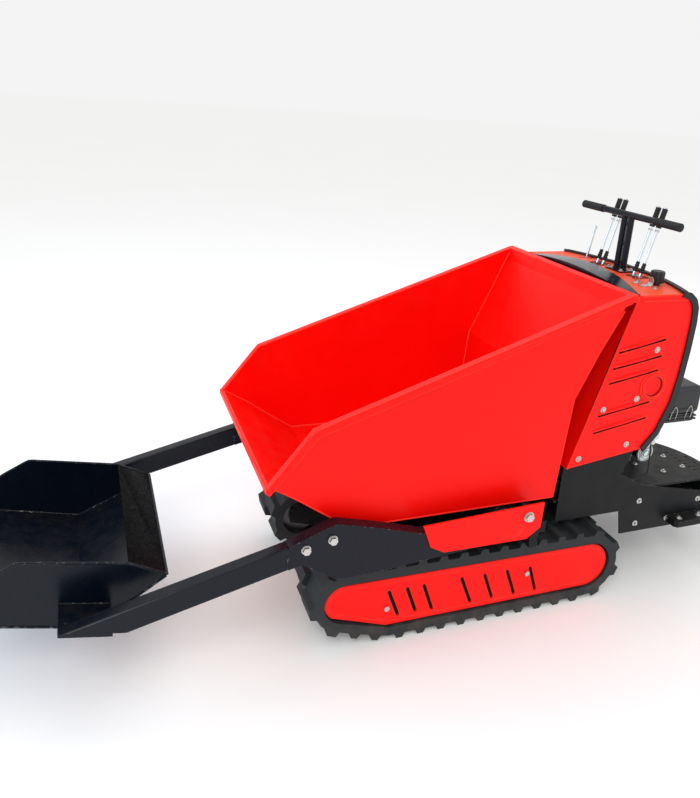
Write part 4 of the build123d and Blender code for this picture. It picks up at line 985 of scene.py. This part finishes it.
        # fuel line, primer and governor link by the carburettor
        fuel = rounded_path(at((-618, 130, 640), (-618, 158, 618), (-622, 176, 590), (-612, 196, 556)), 0.012,
                            8)
        link = rounded_path(at((-640, 116, 520), (-640, 140, 536), (-628, 152, 545)), 0.006, 6)
        build("fuel_line", [tube(resample(fuel, 0.004), 0.0042, 10)], FINISHES["extruded_rubber_edge"],
              "machine")
        build("governor_link", [tube(resample(link, 0.002), 0.0013, 8)], FINISHES["zinc_plate"], "machine")
        knobs = [lathe([(0.0, 0.004), (0.002, 0.009), (0.009, 0.009), (0.011, 0.007), (0.011, 0.0)],
                       at((-600, 262, 538))[0], (0, 1, 0), 24)]
        # turned rings and screws of the float bowl's cover
        for radius in (31.0, 22.0, 12.0):
            turn = np.linspace(0, 2 * np.pi, 64, endpoint=False)
            y = 241.0 if radius > 18 else 249.0
            ring = np.stack([BOWL_X + radius * np.cos(turn), np.full_like(turn, y),
                             BOWL_Z + radius * np.sin(turn)], axis=1)
            knobs.append(tube(at(*ring), 0.0021, 8, (0, 1, 0), True))
        for turn in np.radians((45, 135, 225, 315)):
            knobs += hexagon_bolt(at((BOWL_X + 26.5 * np.cos(turn), 240, BOWL_Z + 26.5 * np.sin(turn)))[0],
                                  (0, 1, 0), 0.006,
                                  False)
        for x in (-620, -584):
            knobs += hexagon_bolt(at((x, 244, 536))[0], (0, 1, 0), 0.007, False)
        build("carburettor_screws", knobs, FINISHES["zinc_plate"], "machine")
        return {"FINISHED"}


class WHEELBARROW_OT_platform(bpy.types.Operator):
    """Raised tread and bolts of the standing platform, and bolts of the deck"""

    bl_idname = "wheelbarrow.platform"
    bl_label = "Platform details"

    def execute(self, context):
        # tread: short lozenges in two directions, 26 mm apart, only where the half disc has room
        gx, gy = np.meshgrid(np.arange(-1125, -915, 26.0), np.arange(-325, 326, 26.0), indexing="ij")
        inside = (gx + 800) ** 2 + gy ** 2 < 335.0 ** 2
        gx, gy = gx[inside], gy[inside]
        odd = (np.round(gx / 26.0) + np.round(gy / 26.0)) % 2 == 0
        shapes = []
        for chosen, turn in ((odd, 45.0), (~odd, -45.0)):
            points, faces = pillow((-0.0095, -0.003, -0.0012), (0.0095, 0.003, 0.0018), 2.2, 5, 10)
            spin = np.array(Matrix.Rotation(np.radians(turn), 3, "Z"))
            offsets = at(*np.stack([gx[chosen], gy[chosen], np.full(chosen.sum(), 250.0)], axis=1))
            shapes.append(repeat((points @ spin.T, faces), offsets))
        build("platform_tread", shapes, FINISHES["satin_enamel_black"], "platform")
        bolts = []
        for x, y in ((-1042, 4), (-1027, -90), (-1027, 98), (-930, 20), (-930, 194), (-930, -194)):
            bolts += hexagon_bolt(at((x, y, 250))[0], (0, 0, 1), 0.013)
        build("platform_bolts", bolts, FINISHES["zinc_plate"], "platform")
        bolts = []
        for side in (-1, 1):
            for x, y in ((-732, 325), (-820, 325)):
                bolts += hexagon_bolt(at((x, side * y, 250))[0], (0, 0, 1), 0.013)
            for x, z in ((-830, 230), (-830, 300), (-700, 240), (-560, 240), (-560, 330)):
                bolts += hexagon_bolt(at((x, side * 300, z))[0], (0, side, 0), 0.011)
        for y in (-230, 0, 230):
            bolts += hexagon_bolt(at((-850, y, 345))[0], (-1, 0, 0), 0.011)
        for x, y in ((-830, 202), (-729, 215), (-661, 141), (-817, 115), (-830, -202), (-729, -215)):
            bolts += hexagon_bolt(at((x, y, 380))[0], (0, 0, 1), 0.010)
        build("deck_bolts", bolts, FINISHES["zinc_plate"], "machine")
        return {"FINISHED"}


class WHEELBARROW_OT_hydraulics(bpy.types.Operator):
    """Hose ferrules, bands and ports of the rams"""

    bl_idname = "wheelbarrow.hydraulics"
    bl_label = "Hydraulic details"

    def execute(self, context):
        ferrules = []
        for y in (-120.0, -70.0, 60.0, 108.0):
            ferrules.append(lathe([(0.0, 0.0), (0.0, 0.0112), (0.008, 0.0116), (0.016, 0.0108),
                                   (0.02, 0.0112),
                                   (0.024, 0.009), (0.024, 0.0)], at((-530, y, 931))[0], (0, 0, -1), 24))
            ferrules.append(lathe([(0.0, 0.0), (0.0, 0.0135), (0.011, 0.0135), (0.011, 0.0)],
                                  at((-530, y, 941))[0],
                                  (0, 0, 1), 36, (1, 2)))
        build("hose_ferrules", ferrules, FINISHES["zinc_plate"], "machine")
        # bands round the ram glands
        for name, body, start, end, reach, radius, ys in (
            ("lift", "lift_ram_barrels", (-340, 215), (20, 302), 287.0, 28.2, (-70, 70)),
            ("tip", "tip_ram_barrel", (150, 110), (300, 400), 272.0, 30.2, (0,)),
        ):
            direction = unit(np.array([end[0] - start[0], 0.0, end[1] - start[1]], dtype=float))
            shapes = []
            for y in ys:
                middle = np.array([start[0], y, start[1]]) + direction * reach
                shapes.append(lathe([(-0.0105, radius / 1000 - 0.0015), (-0.0105, radius / 1000),
                                     (0.0105, radius / 1000),
                                     (0.0105, radius / 1000 - 0.0015), (-0.0105, radius / 1000 - 0.0015)],
                                    at(middle)[0], direction, 40))
                port = np.array([start[0], y, start[1]]) + direction * 60.0
                up = np.cross(direction, (0.0, 1.0, 0.0)) * (1 if name == "tip" else -1)
                up = up if up[2] > 0 else -up
                shapes.append(lathe([(0.020, 0.0), (0.020, 0.009), (0.031, 0.009), (0.031, 0.0)], at(port)[0],
                                    up, 36,
                                    (1, 2)))
            build(name + "_ram_bands", shapes, FINISHES["zinc_plate"], body)
        return {"FINISHED"}


class WHEELBARROW_OT_stage(bpy.types.Operator):
    """Pale floor, soft lights and the camera"""

    bl_idname = "wheelbarrow.stage"
    bl_label = "Stage, lights and camera"

    def execute(self, context):
        scene = context.scene
        colours = settings()[0]
        material, tree, place, shader = begin("painted_studio_floor")
        # emulsion paint rolled on a smooth floor: very pale, nearly matt
        tone = add_node(tree, "ShaderNodeTexNoise", {"Vector": place, "Scale": 0.7, "Detail": 2.0})
        base = blend_colour(tree, tone.outputs[0], four(colours.floor, 0.97), four(colours.floor))
        tree.links.new(base, shader.inputs["Base Color"])
        shader.inputs["Roughness"].default_value = 0.75
        shader.inputs["Specular IOR Level"].default_value = 0.0
        # a faint glow lifts the far floor to the brightness of the air behind it, so that no horizon shows
        shader.inputs["Emission Color"].default_value = (1.0, 1.0, 1.0, 1.0)
        shader.inputs["Emission Strength"].default_value = 0.055
        # a flat disc 60 m in radius, whose rings lie further apart as they go out
        out, turn = np.meshgrid(60.0 * np.linspace(0.0, 1.0, 40) ** 2, np.arange(72) / 72 * 2 * np.pi,
                                indexing="ij")
        points = np.stack([out * np.cos(turn), out * np.sin(turn), 0.0 * out], axis=-1).reshape(-1, 3)
        mesh = bpy.data.meshes.new("studio_floor")
        mesh.from_pydata(points.tolist(), [], grid_faces(40, 72, False, True).tolist())
        mesh.shade_smooth()
        mesh.materials.append(material)
        floor = bpy.data.objects.new("studio_floor", mesh)
        scene.collection.objects.link(floor)
        for name, place, size, power, tint in (
            ("key_light", (2.6, 4.2, 4.6), 2.6, 120.0, (1.0, 0.98, 0.95)),
            ("fill_light", (-4.6, 3.4, 3.0), 3.0, 25.0, (0.95, 0.97, 1.0)),
            ("front_light", (5.4, -0.8, 2.6), 2.4, 70.0, (0.35, 0.6, 1.0)),
            ("top_light", (0.0, -1.5, 5.4), 3.0, 40.0, (1.0, 1.0, 1.0)),
        ):
            lamp = bpy.data.lights.new(name, "AREA")
            lamp.size = size
            lamp.energy = power
            lamp.color = tint
            obj = bpy.data.objects.new(name, lamp)
            obj.location = place
            aim = Vector((0.0, 0.0, 0.4)) - Vector(place)
            obj.rotation_mode = "QUATERNION"
            obj.rotation_quaternion = aim.to_track_quat("-Z", "Y")
            scene.collection.objects.link(obj)
        world = bpy.data.worlds.new("studio_air")
        world.use_nodes = True
        world.node_tree.nodes.clear()
        glow = add_node(world.node_tree, "ShaderNodeBackground",
                        {"Color": (1.0, 1.0, 1.0, 1.0), "Strength": 0.9})
        add_node(world.node_tree, "ShaderNodeOutputWorld", {"Surface": glow.outputs[0]})
        scene.world = world
        camera = bpy.data.cameras.new("camera")
        camera.lens = CAMERA_LENS
        camera.sensor_width = 36.0
        camera.shift_x, camera.shift_y = CAMERA_SHIFT
        obj = bpy.data.objects.new("camera", camera)
        azimuth, elevation, roll = np.radians((CAMERA_AZIMUTH, CAMERA_ELEVATION, CAMERA_ROLL))
        ahead = Vector((np.cos(azimuth) * np.cos(elevation), np.sin(azimuth) * np.cos(elevation),
                        np.sin(elevation)))
        right = ahead.cross(Vector((0, 0, 1))).normalized()
        up = right.cross(ahead)
        tilted = right * np.cos(roll) + up * np.sin(roll)
        high = tilted.cross(ahead)
        place = Matrix.Translation((DATUM_X + CAMERA_PLACE[0], CAMERA_PLACE[1], CAMERA_PLACE[2]))
        obj.matrix_world = place @ Matrix((tilted, high, -ahead)).transposed().to_4x4()
        scene.collection.objects.link(obj)
        scene.camera = obj
        scene.view_settings.view_transform = "Standard"
        return {"FINISHED"}


OPERATORS = (
    WHEELBARROW_OT_stage,
    WHEELBARROW_OT_finishes,
    WHEELBARROW_OT_skip,
    WHEELBARROW_OT_loader,
    WHEELBARROW_OT_tracks,
    WHEELBARROW_OT_hood,
    WHEELBARROW_OT_console,
    WHEELBARROW_OT_engine,
    WHEELBARROW_OT_platform,
    WHEELBARROW_OT_hydraulics,
)


class WHEELBARROW_PT_panel(bpy.types.Panel):
    """Settings and steps of the wheelbarrow"""

    bl_idname = "WHEELBARROW_PT_panel"
    bl_label = "Power wheelbarrow"
    bl_space_type = "VIEW_3D"
    bl_region_type = "UI"
    bl_category = "Wheelbarrow"

    def draw(self, context):
        for group in settings():
            for name in group.bl_rna.properties.keys():
                if name not in {"rna_type", "name"}:
                    self.layout.prop(group, name)
        for operator in OPERATORS:
            self.layout.operator(operator.bl_idname)


CLASSES = (WheelbarrowColours, WheelbarrowSizes, WHEELBARROW_PT_panel) + OPERATORS


def register():
    """Registers the classes and puts the settings on the scene."""
    for cls in CLASSES:
        bpy.utils.register_class(cls)
    bpy.types.Scene.wheelbarrow_colours = PointerProperty(type=WheelbarrowColours)
    bpy.types.Scene.wheelbarrow_sizes = PointerProperty(type=WheelbarrowSizes)


def unregister():
    """Takes the settings and the classes away again."""
    del bpy.types.Scene.wheelbarrow_sizes
    del bpy.types.Scene.wheelbarrow_colours
    for cls in reversed(CLASSES):
        bpy.utils.unregister_class(cls)


def main():
    """Runs every step in order."""
    register()
    for operator in OPERATORS:
        group, name = operator.bl_idname.split(".")
        getattr(getattr(bpy.ops, group), name)()


if __name__ == "__main__":
    main()
